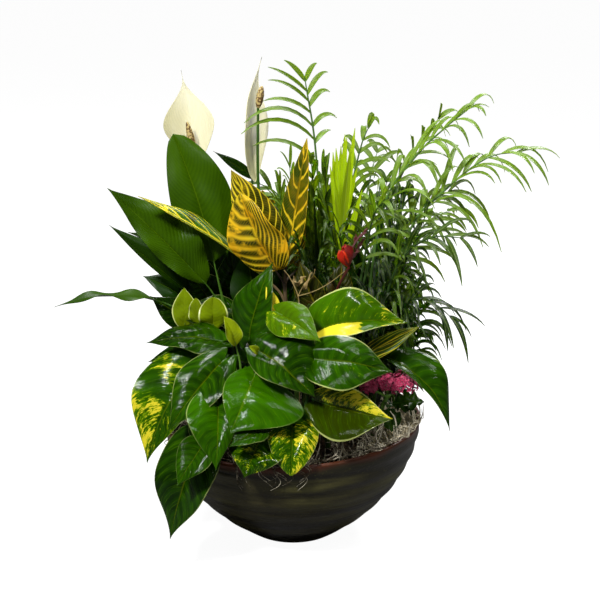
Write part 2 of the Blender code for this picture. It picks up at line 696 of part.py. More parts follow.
# Leaflets seen one by one: the share of the way up the rachis, and where the tip is seen
FRONDS = {
    "palm_frond_01": {
        "root": (0.022, 0.060), "face": (0.0, -0.7, 0.7), "blade": 0.0075,
        "rachis": [seen(330, 300, 0.070), seen(320, 200, 0.078), seen(314, 135, 0.082),
                   seen(307, 92, 0.084), seen(304.5, 76, 0.084)],
        "tips": [(0.810, 242, 136, 0.082, 0.22), (0.850, 243, 120, 0.084, 0.20),
                 (0.900, 257, 81, 0.080, 0.12), (0.937, 269, 67, 0.084, 0.07),
                 (0.980, 278, 63, 0.084, 0.10), (0.980, 317, 63, 0.086, 0.24),
                 (0.937, 324, 74, 0.090, 0.28), (0.900, 327, 95, 0.094, 0.36),
                 (0.850, 337, 118, 0.098, 0.34), (0.810, 331, 126, 0.106, 0.10)]},
    "palm_frond_02": {
        "root": (0.054, 0.030),
        "rachis": [seen(362, 290, 0.036), seen(385, 215, 0.046), seen(404, 170, 0.054),
                   seen(425, 138, 0.060), seen(441, 115, 0.064)],
        "pairs": 7, "start": 0.62, "reach": 0.038, "face": (0.6, -0.2, 0.8)},
    "palm_frond_03": {
        "root": (0.062, 0.022),
        "rachis": [seen(368, 300, 0.020), seen(384, 205, 0.020), seen(416, 156, 0.012),
                   seen(445, 128, 0.004), seen(470, 108, -0.002)],
        "pairs": 8, "start": 0.55, "reach": 0.066, "face": (-0.1, -0.3, 1.0)},
    "palm_frond_04": {
        "root": (0.072, 0.034),
        "rachis": [seen(384, 320, 0.022), seen(410, 230, 0.012), seen(444, 191, 0.010),
                   seen(487, 158, 0.006), seen(522, 152, 0.002)],
        "pairs": 8, "start": 0.57, "reach": 0.066, "face": (0.0, -0.35, 1.0)},
    "palm_frond_05": {
        "root": (0.034, 0.066),
        "rachis": [seen(336, 300, 0.078), seen(345, 220, 0.082), seen(360, 150, 0.085),
                   seen(370, 124, 0.085)],
        "pairs": 6, "start": 0.66, "reach": 0.044, "face": (-0.1, -0.6, 0.8)},
    "palm_frond_06": {
        "root": (0.046, 0.050),
        "rachis": [seen(342, 300, 0.046), seen(340, 240, 0.040), seen(343, 190, 0.038)],
        "pairs": 3, "start": 0.74, "reach": 0.072, "face": (0.0, -1.0, 0.2), "spread": 0.38,
        "blade": 0.0066, "fresh": True},
    "palm_frond_07": {
        "root": (0.014, 0.048),
        "rachis": [seen(312, 310, 0.056), seen(300, 235, 0.060), seen(278, 195, 0.064),
                   seen(256, 182, 0.066)],
        "pairs": 6, "start": 0.62, "reach": 0.046, "face": (0.0, -0.5, 0.9)},
    "palm_frond_08": {
        "root": (0.070, 0.012),
        "rachis": [seen(380, 320, -0.002), seen(400, 262, -0.016), seen(430, 238, -0.046),
                   seen(464, 238, -0.066)],
        "pairs": 6, "start": 0.58, "reach": 0.050, "face": (0.0, -0.5, 0.9)},
    "palm_frond_09": {
        "root": (0.080, 0.022),
        "rachis": [seen(388, 345, 0.006), seen(410, 302, -0.010), seen(434, 304, -0.022),
                   seen(452, 318, -0.030)],
        "pairs": 6, "start": 0.54, "reach": 0.050, "face": (0.2, -0.3, 1.0)},
    "palm_frond_10": {
        "root": (0.040, 0.040),
        "rachis": [seen(346, 310, 0.018), seen(348, 240, 0.006), seen(352, 190, -0.006),
                   seen(358, 162, -0.014)],
        "pairs": 7, "start": 0.55, "reach": 0.050, "face": (0.0, -0.9, 0.4)},
    "palm_frond_11": {
        "root": (0.048, 0.036),
        "rachis": [seen(356, 310, 0.000), seen(366, 250, -0.020), seen(374, 215, -0.042),
                   seen(384, 200, -0.064)],
        "pairs": 6, "start": 0.68, "reach": 0.050, "face": (0.0, -0.8, 0.6)},
    "palm_frond_12": {
        "root": (0.064, 0.044),
        "rachis": [seen(372, 310, 0.040), seen(396, 240, 0.040), seen(425, 205, 0.040),
                   seen(452, 190, 0.040)],
        "pairs": 7, "start": 0.50, "reach": 0.056, "face": (0.0, -0.5, 0.9)},
    "palm_frond_13": {
        "root": (0.052, 0.064),
        "rachis": [seen(352, 300, 0.100), seen(362, 220, 0.130), seen(372, 170, 0.160),
                   seen(378, 150, 0.185)],
        "pairs": 6, "start": 0.58, "reach": 0.056, "face": (0.0, -0.7, 0.7)},
    "palm_frond_14": {
        "root": (0.066, 0.058),
        "rachis": [seen(376, 310, 0.090), seen(405, 250, 0.120), seen(430, 220, 0.150),
                   seen(450, 210, 0.175)],
        "pairs": 6, "start": 0.54, "reach": 0.056, "face": (-0.3, -0.6, 0.75)},
    "palm_frond_15": {
        "root": (0.030, 0.080),
        "rachis": [seen(332, 310, 0.110), seen(325, 240, 0.140), seen(318, 205, 0.175),
                   seen(312, 195, 0.205)],
        "pairs": 6, "start": 0.54, "reach": 0.054, "face": (0.1, -0.7, 0.7)},
    "palm_frond_16": {
        "root": (0.016, 0.036),
        "rachis": [seen(314, 310, 0.034), seen(316, 250, 0.030), seen(314, 195, 0.028),
                   seen(311, 160, 0.028)],
        "pairs": 7, "start": 0.55, "reach": 0.044, "face": (-0.1, -0.9, 0.4)},
}


def leaflet_plan(frond, path):
    """Every leaflet of a frond: its share of the way, its hand, and the curve of its middle."""
    if "tips" in frond:
        return [seen_leaflet(frond, path, *tip) for tip in frond["tips"]]
    plan = []
    face = Vector(frond["face"]).normalized()
    pairs, start = frond["pairs"], frond["start"]
    for pair in range(pairs):
        rise = pair / (pairs - 1)
        share = start + (0.98 - start) * rise
        spot, slope = along_path(path, share)
        side = slope.cross(face).normalized()
        size = frond["reach"] * (1.0 - 0.40 * rise**2) * (0.80 + 0.20 * min(pair, 1))
        angle = frond.get("spread", 1.0) * (1.0 - 0.50 * rise)
        for hand in (-1, 1):
            outward = slope * math.cos(angle) + side * hand * math.sin(angle)
            droop = UP * size * (0.30 + 0.10 * math.sin(pair * 1.3 + hand))
            curve = (spot, spot + outward * size * 0.35, spot + outward * size * 0.75 - droop * 0.25,
                     spot + outward * size - droop)
            plan.append((share, hand, curve))
    return plan


def seen_leaflet(frond, path, share, across, down, depth, bow):
    """A leaflet placed by its tip, arching up by bow times its length."""
    spot, slope = along_path(path, share)
    reach = seen(across, down, depth) - spot
    lift = UP * bow * reach.length
    hand = 1 if slope.cross(Vector(frond["face"])).dot(reach) > 0 else -1
    return share, hand, (spot, spot + reach * 0.3 + lift, spot + reach * 0.7 + lift, spot + reach)


def frond_sheet(frond, path):
    """The leafy part of a frond: a rib with a leaflet drawn out of each side at every step."""
    plan = leaflet_plan(frond, path)
    face = Vector(frond["face"]).normalized()
    length = sum((b - a).length for a, b in zip(path, path[1:]))
    half = LEAFLET_ROOT / 2 / length
    steps = sorted({share for share, _, _ in plan})
    rows = [steps[0] - 4 * half]
    for share in steps:
        rows += [share - half, share + half]
    places = [along_path(path, share) for share in rows]

    def rib(u, t):
        spot, slope = places[round(t * (len(rows) - 1))]
        return spot + slope.cross(face).normalized() * u * RIB_WIDTH / 2

    shape = shaped_grid(1, len(rows) - 1, rib)
    for share, hand, curve in plan:
        row = 1 + 2 * steps.index(share)
        low, high = (rib(hand, at / (len(rows) - 1)) for at in (row, row + 1))
        draw_leaflet(shape, low, high, curve, face, frond.get("blade", LEAFLET_WIDTH))
    bmesh.ops.remove_doubles(shape, verts=shape.verts, dist=MERGE)
    bmesh.ops.triangulate(shape, faces=shape.faces)
    thing = place("sheet", mesh_from(shape, "sheet"), pieces_group)
    thick = thing.modifiers.new("thickness", "SOLIDIFY")
    thick.thickness = LEAFLET_THICKNESS
    thick.offset = 0.0
    return bake(thing), rows[0]


def far_edge(grown, ends):
    """The new edge between the two new points of an extrusion."""
    return next(part for part in grown
                if isinstance(part, bmesh.types.BMEdge) and set(part.verts) == set(ends))


def draw_leaflet(shape, low, high, curve, face, width):
    """Extrudes the rib's edge from low to high along a leaflet's curve, out to its tip."""
    def near(point):
        return min(shape.verts, key=lambda vert: (vert.co - point).length_squared)

    edge = shape.edges.get((near(low), near(high)))
    for t in (LEAFLET_BELLY, 1.0):
        middle, slope = bezier(curve, t), bezier_slope(curve, t)
        across = slope.cross(face).normalized() * width / 2
        if (high - low).dot(across) < 0:
            across = -across
        first, last = edge.verts
        if (last.co - first.co).dot(across) < 0:
            first, last = last, first
        grown = bmesh.ops.extrude_edge_only(shape, edges=[edge])["geom"]
        ends = sorted((g for g in grown if isinstance(g, bmesh.types.BMVert)),
                      key=lambda vert: (vert.co - first.co).length)
        narrowing = (1.0 - t) / (1.0 - LEAFLET_BELLY)
        ends[0].co = middle - across * narrowing
        ends[1].co = middle + across * narrowing
        edge = far_edge(grown, ends)


def make_frond(name, frond):
    foot = rooted(frond["root"], FROND_STALK)
    path = smooth_path([foot[1], *frond["rachis"]], 2)
    sheet, start = frond_sheet(frond, path)
    stalk = [along_path(path, start * step / 5.2)[0] for step in range(6)]
    stalk.append(along_path(path, start + 0.02)[0])
    radii = [FROND_STALK * (1.0 - 0.45 * i / len(stalk)) for i in range(len(stalk))] + [NECK]
    finish = material("palm_fresh", GREEN_LIGHT, 0.5) if frond.get("fresh") else palm_finish
    fuse(name, [sheet, tube([foot[0], *stalk], radii)], finish)


# Blooms

def make_spathe(key, flower):
    foot = rooted(flower["root"], LILY_STALK)
    path = smooth_path([foot[1], *flower["stalk"], flower["top"]], 2)
    stem = tube([foot[0], *path], [LILY_STALK] * (len(path) + 1))
    fuse(f"peace_lily_stalk_{key}", [stem], material("lily_stalk", GREEN_DARK, 0.5))
    leaf = flower["leaf"]
    fuse(f"spathe_{key}", [leaf_blade(leaf)], material("spathe", CREAM, 0.5))
    start, end = flower["top"], flower["spadix"]
    axis = end - start
    start = start + axis.normalized() * 0.0008
    side = axis.cross(Vector((0.3, 1.0, 0.2))).normalized()
    other = axis.normalized().cross(side)

    def knobbly(corner, t):
        angle = 2 * math.pi * (corner + 0.5 * round(t * 7)) / 6
        size = SPADIX_RADIUS * (math.sin(math.pi * (0.16 + 0.80 * t)) ** 0.5 if t < 1 else 0.33)
        size *= 1 + 0.10 * (round(t * 7) % 2)
        return start + (end - start) * t + (side * math.cos(angle) + other * math.sin(angle)) * size

    fuse(f"spadix_{key}", [rolled(knobbly, 6, 7)], material("spadix", TAN, 0.8))


KALANCHOE = {
    "root": (0.078, -0.036),
    "stem": [seen(382, 408, -0.052), seen(388, 396, -0.056)],
    "heads": {
        "kalanchoe_head_1": (seen(404, 385, -0.040), 0.0105),
        "kalanchoe_head_2": (seen(384, 380, -0.044), 0.0085),
        "kalanchoe_head_3": (seen(364, 387, -0.060), 0.0080),
    },
    "leaves": [
        {"base": seen(392, 404, -0.058), "tip": seen(424, 402, -0.062), "from": 0.9,
         "face": (0.2, -0.5, 0.85), "width": 0.024, "outline": "oval"},
        {"base": seen(388, 408, -0.066), "tip": seen(392, 432, -0.090), "from": 0.8,
         "face": (0.1, -0.7, 0.7), "width": 0.022, "outline": "oval"},
        {"base": seen(396, 406, -0.046), "tip": seen(414, 412, -0.020), "from": 0.7,
         "face": (0.3, -0.3, 0.9), "width": 0.022, "outline": "oval"},
    ],
}


def scatter_directions(count):
    """Evenly spread directions over the upper part of a ball."""
    directions = []
    for i in range(count):
        height = 1.0 - 1.05 * (i + 0.5) / count
        ring = math.sqrt(max(1.0 - height * height, 0.0))
        angle = i * math.pi * (3.0 - math.sqrt(5.0))
        directions.append(Vector((ring * math.cos(angle), ring * math.sin(angle), height)))
    return directions


def floret(centre, direction, size):
    """A four-lobed star with a raised heart, standing out of the head."""
    shape = bmesh.new()
    bmesh.ops.create_cone(shape, cap_ends=True, segments=8, radius1=0.0, radius2=size,
                          depth=size * 1.1)
    turn = direction.to_track_quat("Z", "Y")
    for vert in shape.verts:
        angle = math.atan2(vert.co.y, vert.co.x)
        if vert.co.z > 0 and math.cos(angle * 4 + 0.01) < 0:
            vert.co.x *= 0.5
            vert.co.y *= 0.5
        vert.co = centre + turn @ vert.co
    return place("floret", mesh_from(shape, "floret"), pieces_group)


def make_head(name, centre, size, way):
    """A head of florets round a core, one corner of which sits on its stalk's end."""
    turn = way.to_track_quat("Z", "Y")
    shape = bmesh.new()
    bmesh.ops.create_icosphere(shape, subdivisions=1, radius=size * CORE_SHARE)
    for vert in shape.verts:
        vert.co = centre + turn @ vert.co
    pieces = [place("core", mesh_from(shape, "core"), pieces_group)]
    for direction in scatter_directions(9):
        pieces.append(floret(centre + direction * size * CORE_SHARE * 0.97, direction, FLORET_RADIUS))
    fuse(name, pieces, material("kalanchoe_bloom", MAGENTA, 0.6))


def make_kalanchoe():
    foot = rooted(KALANCHOE["root"], KALANCHOE_STEM)
    path = smooth_path([foot[1], *KALANCHOE["stem"]], 2)
    pieces = [tube([foot[0], *path], [KALANCHOE_STEM] * (len(path) + 1))]
    for leaf in KALANCHOE["leaves"]:
        start, climb = along_path(path, leaf["from"])
        points, radii = stalk_to_leaf(start, climb, leaf, KALANCHOE_PETIOLE, steps=3)
        pieces += [tube(points, radii), leaf_blade(leaf)]
    start, _ = along_path(path, 0.97)
    for centre, size in KALANCHOE["heads"].values():
        way = (centre - start).normalized()
        end = centre - way * (size * CORE_SHARE + GAP)
        pieces.append(tube([start, (start + end) / 2, end], [PETIOLE] * 3))
    fuse("kalanchoe_stem", pieces, material("kalanchoe_leaf", GREEN_DARK, 0.5))
    for name, (centre, size) in KALANCHOE["heads"].items():
        make_head(name, centre, size, (centre - start).normalized())


RED_BLOOM = {
    "root": (0.020, -0.004),
    "stem": [seen(326, 330, -0.026), seen(337, 290, -0.048)],
    "centre": seen(345, 256, -0.060),
    "axis": (-0.25, -0.80, 0.45),
}


def make_red_bloom():
    foot = rooted(RED_BLOOM["root"], RED_STEM)
    axis = Vector(RED_BLOOM["axis"]).normalized()
    centre = RED_BLOOM["centre"]
    seat = centre - axis * (BLOOM_DEPTH + BLADE / 2 + GAP)
    path = [*smooth_path([foot[1], *RED_BLOOM["stem"], seat - axis * 0.004], 3), seat]
    stem = tube([foot[0], *path], [RED_STEM] * (len(path) + 1))
    fuse("red_bloom_stem", [stem], material("red_stem", (0.12, 0.03, 0.03), 0.6))
    turn = axis.to_track_quat("Z", "Y")
    shape = bmesh.new()
    bmesh.ops.create_circle(shape, cap_ends=True, segments=10, radius=0.0022)
    for edge in list(shape.edges)[::2]:
        middle = (edge.verts[0].co + edge.verts[1].co) / 2
        out = middle.normalized()
        for reach, rise, spread in ((0.0060, 0.0030, 2.9), (0.0100, 0.0070, 1.3)):
            ends = [vert.co.copy() for vert in edge.verts]
            grown = bmesh.ops.extrude_edge_only(shape, edges=[edge])["geom"]
            tips = [g for g in grown if isinstance(g, bmesh.types.BMVert)]
            across = (ends[1] - ends[0]).normalized() * 0.0014 * spread
            for vert in tips:
                hand = 1 if (vert.co - ends[0]).length > (vert.co - ends[1]).length else -1
                vert.co = out * reach + UP * rise + across * hand
            edge = far_edge(grown, tips)
    for vert in shape.verts:
        vert.co = centre - axis * BLOOM_DEPTH + turn @ vert.co
    bmesh.ops.triangulate(shape, faces=shape.faces)
    bloom = place("petals", mesh_from(shape, "petals"), pieces_group)
    thick = bloom.modifiers.new("thickness", "SOLIDIFY")
    thick.thickness = BLADE
    thick.offset = 0.0
    fuse("red_bloom", [bake(bloom)], material("red_petal", RED, 0.5))


clear_scene()
plants = new_collection("potted_tropical_arrangement")
cutters = new_collection("cutters")
pieces_group = new_collection("pieces")

lily_finish = material("lily_leaf", GREEN_DARK, 0.35)
croton_finish = material("croton_leaf", (0.30, 0.22, 0.02), 0.35)
pothos_finish = material("pothos_leaf", GREEN, 0.25)
palm_finish = material("palm_leaf", PALM_GREEN, 0.45)

for leaf_name, leaf_shape in PEACE_LILY_LEAVES.items():
    leaf_shape["outline"] = "lance"
    make_rooted_leaf(leaf_name, leaf_shape, lily_finish)
for spathe_key, spathe_shape in SPATHES.items():
    make_spathe(spathe_key, spathe_shape)
for stem_name, stem_shape in CROTONS.items():
    make_leafy_stem(stem_name, stem_shape, croton_finish)
for vine_name, vine_shape in POTHOS.items():
    make_leafy_stem(vine_name, vine_shape, pothos_finish)
for frond_name, frond_shape in FRONDS.items():
    make_frond(frond_name, frond_shape)
make_kalanchoe()
make_red_bloom()
make_bowl()
make_soil()
make_moss()
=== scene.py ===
# Potted tropical arrangement: the looks of every leaf, bloom, strand of moss and the glazed bowl.
import math
import random

import bmesh
import bpy
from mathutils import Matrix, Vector, noise


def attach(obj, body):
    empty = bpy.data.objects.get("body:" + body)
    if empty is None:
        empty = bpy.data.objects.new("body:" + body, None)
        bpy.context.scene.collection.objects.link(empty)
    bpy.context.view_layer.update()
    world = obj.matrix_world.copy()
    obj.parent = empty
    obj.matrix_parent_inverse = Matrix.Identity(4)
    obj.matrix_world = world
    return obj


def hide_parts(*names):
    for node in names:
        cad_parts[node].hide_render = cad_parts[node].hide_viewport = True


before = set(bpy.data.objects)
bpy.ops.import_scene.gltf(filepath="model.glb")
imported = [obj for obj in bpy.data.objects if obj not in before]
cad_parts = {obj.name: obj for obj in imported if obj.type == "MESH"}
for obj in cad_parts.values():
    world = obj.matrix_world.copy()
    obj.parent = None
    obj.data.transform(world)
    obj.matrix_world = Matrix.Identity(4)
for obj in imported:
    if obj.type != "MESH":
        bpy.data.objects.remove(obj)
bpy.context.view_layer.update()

rng = random.Random(11)
up = Vector((0.0, 0.0, 1.0))


# The reference view places a leaf by where it is seen and how deep it lies
view = {
    "elevation": 16.5,              # degrees above the horizon
    "distance": 1.5,
    "aim": (0.0068, 0.0, 0.2380),
    "focal": 1538.0,                # in pixels
    "side": 600,                    # the picture's side in pixels
    "sensor": 36.0,
}
tilt = math.radians(view["elevation"])
forward = Vector((0.0, math.cos(tilt), -math.sin(tilt)))
upward = Vector((0.0, math.sin(tilt), math.cos(tilt)))
eye = Vector(view["aim"]) - forward * view["distance"]


def seen(across, down, depth):
    # the place of a spot given in pixels of the picture and millimetres of depth
    sideways = (across - view["side"] / 2) / view["focal"]
    upwards = (view["side"] / 2 - down) / view["focal"]
    ray = forward + Vector((sideways, 0.0, 0.0)) + upward * upwards
    return eye + ray * ((depth / 1000 - eye.y) / ray.y)


def allSeen(spots):
    return [seen(*spot) for spot in spots]


def linked(name, data):
    thing = bpy.data.objects.new(name, data)
    bpy.context.scene.collection.objects.link(thing)
    return thing


def addCamera():
    camera = linked("camera", bpy.data.cameras.new("camera"))
    camera.data.sensor_width = view["sensor"]
    camera.data.lens = view["focal"] * view["sensor"] / view["side"]
    camera.location = eye
    camera.rotation_euler = (math.pi / 2 - tilt, 0.0, 0.0)
    bpy.context.scene.camera = camera


addCamera()
print("camera placed")


# Curves and paths

def bezier(points, t):
    a, b, c, d = points
    s = 1.0 - t
    return a * s**3 + b * 3 * s * s * t + c * 3 * s * t * t + d * t**3


def bezierSlope(points, t):
    a, b, c, d = points
    s = 1.0 - t
    return ((b - a) * s * s + (c - b) * 2 * s * t + (d - c) * t * t).normalized()


def smoothPath(points, steps):
    # a Catmull-Rom curve through the points, with this many steps from one to the next
    ends = [points[0] * 2 - points[1], *points, points[-1] * 2 - points[-2]]
    path = []
    for i in range(1, len(ends) - 2):
        a, b, c, d = ends[i - 1:i + 3]
        for step in range(steps):
            t = step / steps
            path.append(0.5 * (b * 2 + (c - a) * t + (a * 2 - b * 5 + c * 4 - d) * t * t
                               + (b * 3 - a - c * 3 + d) * t**3))
    return [*path, points[-1]]


def alongPath(path, share):
    lengths = [(b - a).length for a, b in zip(path, path[1:])]
    target = share * sum(lengths)
    for i, length in enumerate(lengths):
        if target <= length or i == len(lengths) - 1:
            step = path[i + 1] - path[i]
            return path[i] + step * (target / length), step.normalized()
        target -= length


def polar(radius, angle, height=0.0):
    return Vector((radius * math.cos(angle), radius * math.sin(angle), height))


def turned(side, other, angle):
    return side * math.cos(angle) + other * math.sin(angle)


def bumps(x, y, z):
    return noise.noise(Vector((x, y, z)))


def smoothstep(low, high, value):
    t = min(max((value - low) / (high - low), 0.0), 1.0)
    return t * t * (3.0 - 2.0 * t)


# Sheets and stems, all laid in one bmesh for each piece. Each sheet keeps its own traits, which
# the materials read: shade, painted light and shade from dark to lit, partly also a tone that
# differs at random; gold, the variegation; warm, towards lime or orange, in the pothos partly
# painted back light through the leaf; seed, which shifts the patterns; under, 1 on the lower side;
# rows and sweep, how much more ribs it has and how much more they slant; rim, how pale its margin
# is.
traitNames = ("shade", "gold", "warm", "seed", "under", "rows", "sweep", "rim")


def newShape():
    shape = bmesh.new()
    shape.loops.layers.uv.new("leaf")
    for name in traitNames:
        shape.verts.layers.float.new(name)
    return shape


def addSheet(shape, across, along, place, traits, thickness, material=0):
    made = bmesh.ops.create_grid(shape, x_segments=across, y_segments=along, size=1.0,
                                 calc_uvs=True)
    layers = {name: shape.verts.layers.float[name] for name in traitNames}
    for vert in made["verts"]:
        u, t = vert.co.x, (vert.co.y + 1.0) / 2.0
        vert.co = place(u, t)
        for name, value in traits.items():
            vert[layers[name]] = value(u, t) if callable(value) else value
    faces = list(dict.fromkeys(face for vert in made["verts"] for face in vert.link_faces))
    for face in faces:
        face.material_index = material
    bmesh.ops.recalc_face_normals(shape, faces=faces)
    grown = bmesh.ops.solidify(shape, geom=faces, thickness=thickness)["geom"]
    for part in grown:
        if isinstance(part, bmesh.types.BMVert):
            part[layers["under"]] = 1.0


def addStem(shape, points, radii, sides=8, material=1, shade=0.5):
    # a round stem along the points, its radii interpolated from its foot to its end
    first = (points[1] - points[0]).normalized()
    side = first.orthogonal().normalized()
    ring = bmesh.ops.create_circle(shape, cap_ends=True, segments=sides, radius=1.0)["verts"]
    face = ring[0].link_faces[0]
    face.material_index = material
    shadeLayer = shape.verts.layers.float["shade"]
    for i, point in enumerate(points):
        if i:
            grown = bmesh.ops.extrude_face_region(shape, geom=[face])["geom"]
            face = next(part for part in grown if isinstance(part, bmesh.types.BMFace))
        low, high = points[max(i - 1, 0)], points[min(i + 1, len(points) - 1)]
        slope = (high - low).normalized()
        side = (side - slope * side.dot(slope)).normalized()
        other = slope.cross(side)
        share = i / (len(points) - 1) * (len(radii) - 1)
        whole = min(int(share), len(radii) - 2)
        radius = radii[whole] + (radii[whole + 1] - radii[whole]) * (share - whole)
        for k, vert in enumerate(face.verts):
            angle = 2 * math.pi * k / sides
            vert.co = point + turned(side, other, angle) * radius
            vert[shadeLayer] = shade


def makePiece(name, shape, finishes, nodes, sharp=50):
    bmesh.ops.recalc_face_normals(shape, faces=shape.faces)
    mesh = bpy.data.meshes.new(name)
    shape.to_mesh(mesh)
    shape.free()
    mesh.shade_smooth()
    mesh.set_sharp_from_angle(angle=math.radians(sharp))
    for finish in finishes:
        mesh.materials.append(finish)
    piece = linked(name, mesh)
    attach(piece, "root")
    if nodes:
        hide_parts(*nodes)


# Material helpers

def rgb(red, green, blue):
    # a screen colour from 0 to 255 as the linear one that the shaders take
    def linear(value):
        share = value / 255
        return share / 12.92 if share <= 0.04045 else ((share + 0.055) / 1.055) ** 2.4
    return (linear(red), linear(green), linear(blue), 1.0)


def addNode(tree, kind, inputs=None, **settings):
    node = tree.nodes.new("ShaderNode" + kind)
    for name, value in settings.items():
        setattr(node, name, value)
    for key, value in (inputs or {}).items():
        if isinstance(value, bpy.types.NodeSocket):
            tree.links.new(value, node.inputs[key])
        else:
            node.inputs[key].default_value = value
    return node


def mathOf(tree, operation, a, b=0.0, c=0.0):
    return addNode(tree, "Math", {0: a, 1: b, 2: c}, operation=operation).outputs[0]


def plus(tree, a, b):
    return mathOf(tree, "ADD", a, b)


def times(tree, a, b):
    return mathOf(tree, "MULTIPLY", a, b)


def timesPlus(tree, a, b, c):
    return mathOf(tree, "MULTIPLY_ADD", a, b, c)


def most(tree, a, b):
    return mathOf(tree, "MAXIMUM", a, b)


def remap(tree, value, low, high, toLow=0.0, toHigh=1.0):
    node = addNode(tree, "MapRange", {0: value, 1: low, 2: high, 3: toLow, 4: toHigh},
                   interpolation_type="SMOOTHSTEP")
    return node.outputs[0]


def mixColours(tree, factor, a, b):
    return addNode(tree, "Mix", {0: factor, 6: a, 7: b}, data_type="RGBA").outputs[2]


def tinted(tree, colour, mask, amount, other):
    return mixColours(tree, times(tree, mask, amount), colour, other)


def trait(tree, name):
    return addNode(tree, "Attribute", attribute_name=name).outputs["Fac"]


def clouded(tree, name, cloud, amount):
    # a trait that wanders to both sides with a noise
    return plus(tree, trait(tree, name), timesPlus(tree, cloud, amount, -amount / 2))


def noiseOf(tree, where, scale, detail=2.0, roughness=0.5):
    return addNode(tree, "TexNoise", {"Vector": where, "Scale": scale, "Detail": detail,
                                      "Roughness": roughness}).outputs["Fac"]


def objectNoise(tree, scale, detail=3.0, roughness=0.55, stretch=None):
    coords = addNode(tree, "TexCoord").outputs["Object"]
    if stretch:
        coords = addNode(tree, "Mapping", {0: coords, 3: stretch}).outputs[0]
    return noiseOf(tree, coords, scale, detail, roughness)


def makeGroup(name, inputs, outputs):
    tree = bpy.data.node_groups.new(name, "ShaderNodeTree")
    for label, value in inputs.items():
        socket = tree.interface.new_socket(label, in_out="INPUT", socket_type="NodeSocketFloat")
        socket.default_value = value
    for label in outputs:
        tree.interface.new_socket(label, in_out="OUTPUT", socket_type="NodeSocketFloat")
    given = tree.nodes.new("NodeGroupInput").outputs
    wanted = tree.nodes.new("NodeGroupOutput").inputs
    return tree, given, wanted


def placeGroup(tree, group, **inputs):
    return addNode(tree, "Group", inputs, node_tree=group).outputs


def newMaterial(name, **constants):
    material = bpy.data.materials.new(name)
    material.use_nodes = True
    tree = material.node_tree
    shader = tree.nodes["Principled BSDF"]
    for label, value in constants.items():
        shader.inputs[label.replace("_", " ")].default_value = value
    return material, tree, shader


def connect(tree, shader, colour, roughness, height, strength, distance):
    tree.links.new(colour, shader.inputs["Base Color"])
    tree.links.new(roughness, shader.inputs["Roughness"])
    bump = addNode(tree, "Bump", {"Height": height, "Strength": strength, "Distance": distance})
    tree.links.new(bump.outputs[0], shader.inputs["Normal"])


# Veins of a leaf from its own UV map: a midrib, side ribs that sweep towards the tip, the margin
def makeRibGroup():
    tree, given, wanted = makeGroup(
        "leafRibs",
        {"Count": 12.0, "Slant": 2.0, "RibWidth": 0.10, "MidribWidth": 0.06, "Wander": 0.5},
        ("Rib", "Midrib", "Margin", "Quilt", "Row", "Across", "Along"))
    uv = addNode(tree, "UVMap", uv_map="leaf").outputs[0]
    parts = addNode(tree, "SeparateXYZ", {0: uv}).outputs
    across = mathOf(tree, "ABSOLUTE", timesPlus(tree, parts[0], 2.0, -1.0))
    hand = mathOf(tree, "GREATER_THAN", parts[0], 0.5)
    seed = times(tree, trait(tree, "seed"), 40.0)
    where = addNode(tree, "CombineXYZ", {0: parts[0], 1: parts[1], 2: seed}).outputs[0]
    wander = noiseOf(tree, where, 3.0)
    slant = times(tree, given["Slant"], plus(tree, trait(tree, "sweep"), 1.0))
    count = times(tree, given["Count"], plus(tree, trait(tree, "rows"), 1.0))
    sweep = times(tree, mathOf(tree, "POWER", across, 1.25), slant)
    row = mathOf(tree, "SUBTRACT", times(tree, parts[1], count), sweep)
    row = timesPlus(tree, hand, 0.47, row)
    row = timesPlus(tree, wander, given["Wander"], row)
    near = mathOf(tree, "PINGPONG", row, 0.5)
    outputs = {
        "Rib": remap(tree, near, 0.0, given["RibWidth"], 1.0, 0.0),
        "Midrib": remap(tree, across, 0.0, given["MidribWidth"], 1.0, 0.0),
        "Margin": remap(tree, timesPlus(tree, trait(tree, "rim"), 0.06, across), 0.955, 0.99),
        "Quilt": remap(tree, near, 0.0, 0.5),
        "Row": row,
        "Across": across,
        "Along": parts[1],
    }
    for label, value in outputs.items():
        tree.links.new(value, wanted[label])
    return tree


# Streaks of variegation that follow the side ribs, as much of them as the gold trait says
def makeStreakGroup():
    tree, given, wanted = makeGroup(
        "variegation", {"Row": 0.0, "Across": 0.0, "Stretch": 1.9, "Softness": 0.05},
        ("Patch", "Halo"))
    gold = trait(tree, "gold")
    seed = times(tree, trait(tree, "seed"), 60.0)
    where = addNode(tree, "CombineXYZ", {
        0: times(tree, given["Row"], given["Stretch"]),
        1: times(tree, given["Across"], 1.7), 2: seed}).outputs[0]
    wide = noiseOf(tree, where, 0.9, 5.0, 0.66)
    fine = noiseOf(tree, where, 3.6, 4.0, 0.6)
    level = timesPlus(tree, gold, -0.42, 0.80)
    present = mathOf(tree, "GREATER_THAN", gold, 0.02)
    blot = objectNoise(tree, 95.0, detail=4.0, roughness=0.62)
    wide = timesPlus(tree, wide, 0.62, times(tree, blot, 0.38))
    over = mathOf(tree, "SUBTRACT", timesPlus(tree, fine, 0.40, wide), level)
    over = mathOf(tree, "SUBTRACT", over, 0.20)
    patch = remap(tree, over, 0.0, given["Softness"])
    halo = remap(tree, over, -0.10, 0.02)
    tree.links.new(times(tree, patch, present), wanted["Patch"])
    tree.links.new(times(tree, halo, present), wanted["Halo"])
    return tree


leafRibs = makeRibGroup()
variegation = makeStreakGroup()

pothosLook = {
    "dark": rgb(8, 30, 0),
    "lit": rgb(50, 100, 0),
    "streak": rgb(84, 128, 2),
    "youngAndBacklitLime": rgb(146, 162, 14),
    "gold": rgb(212, 198, 44),
    "halo": rgb(118, 150, 6),
    "under": rgb(76, 112, 30),
    "margin": rgb(206, 214, 130),
}


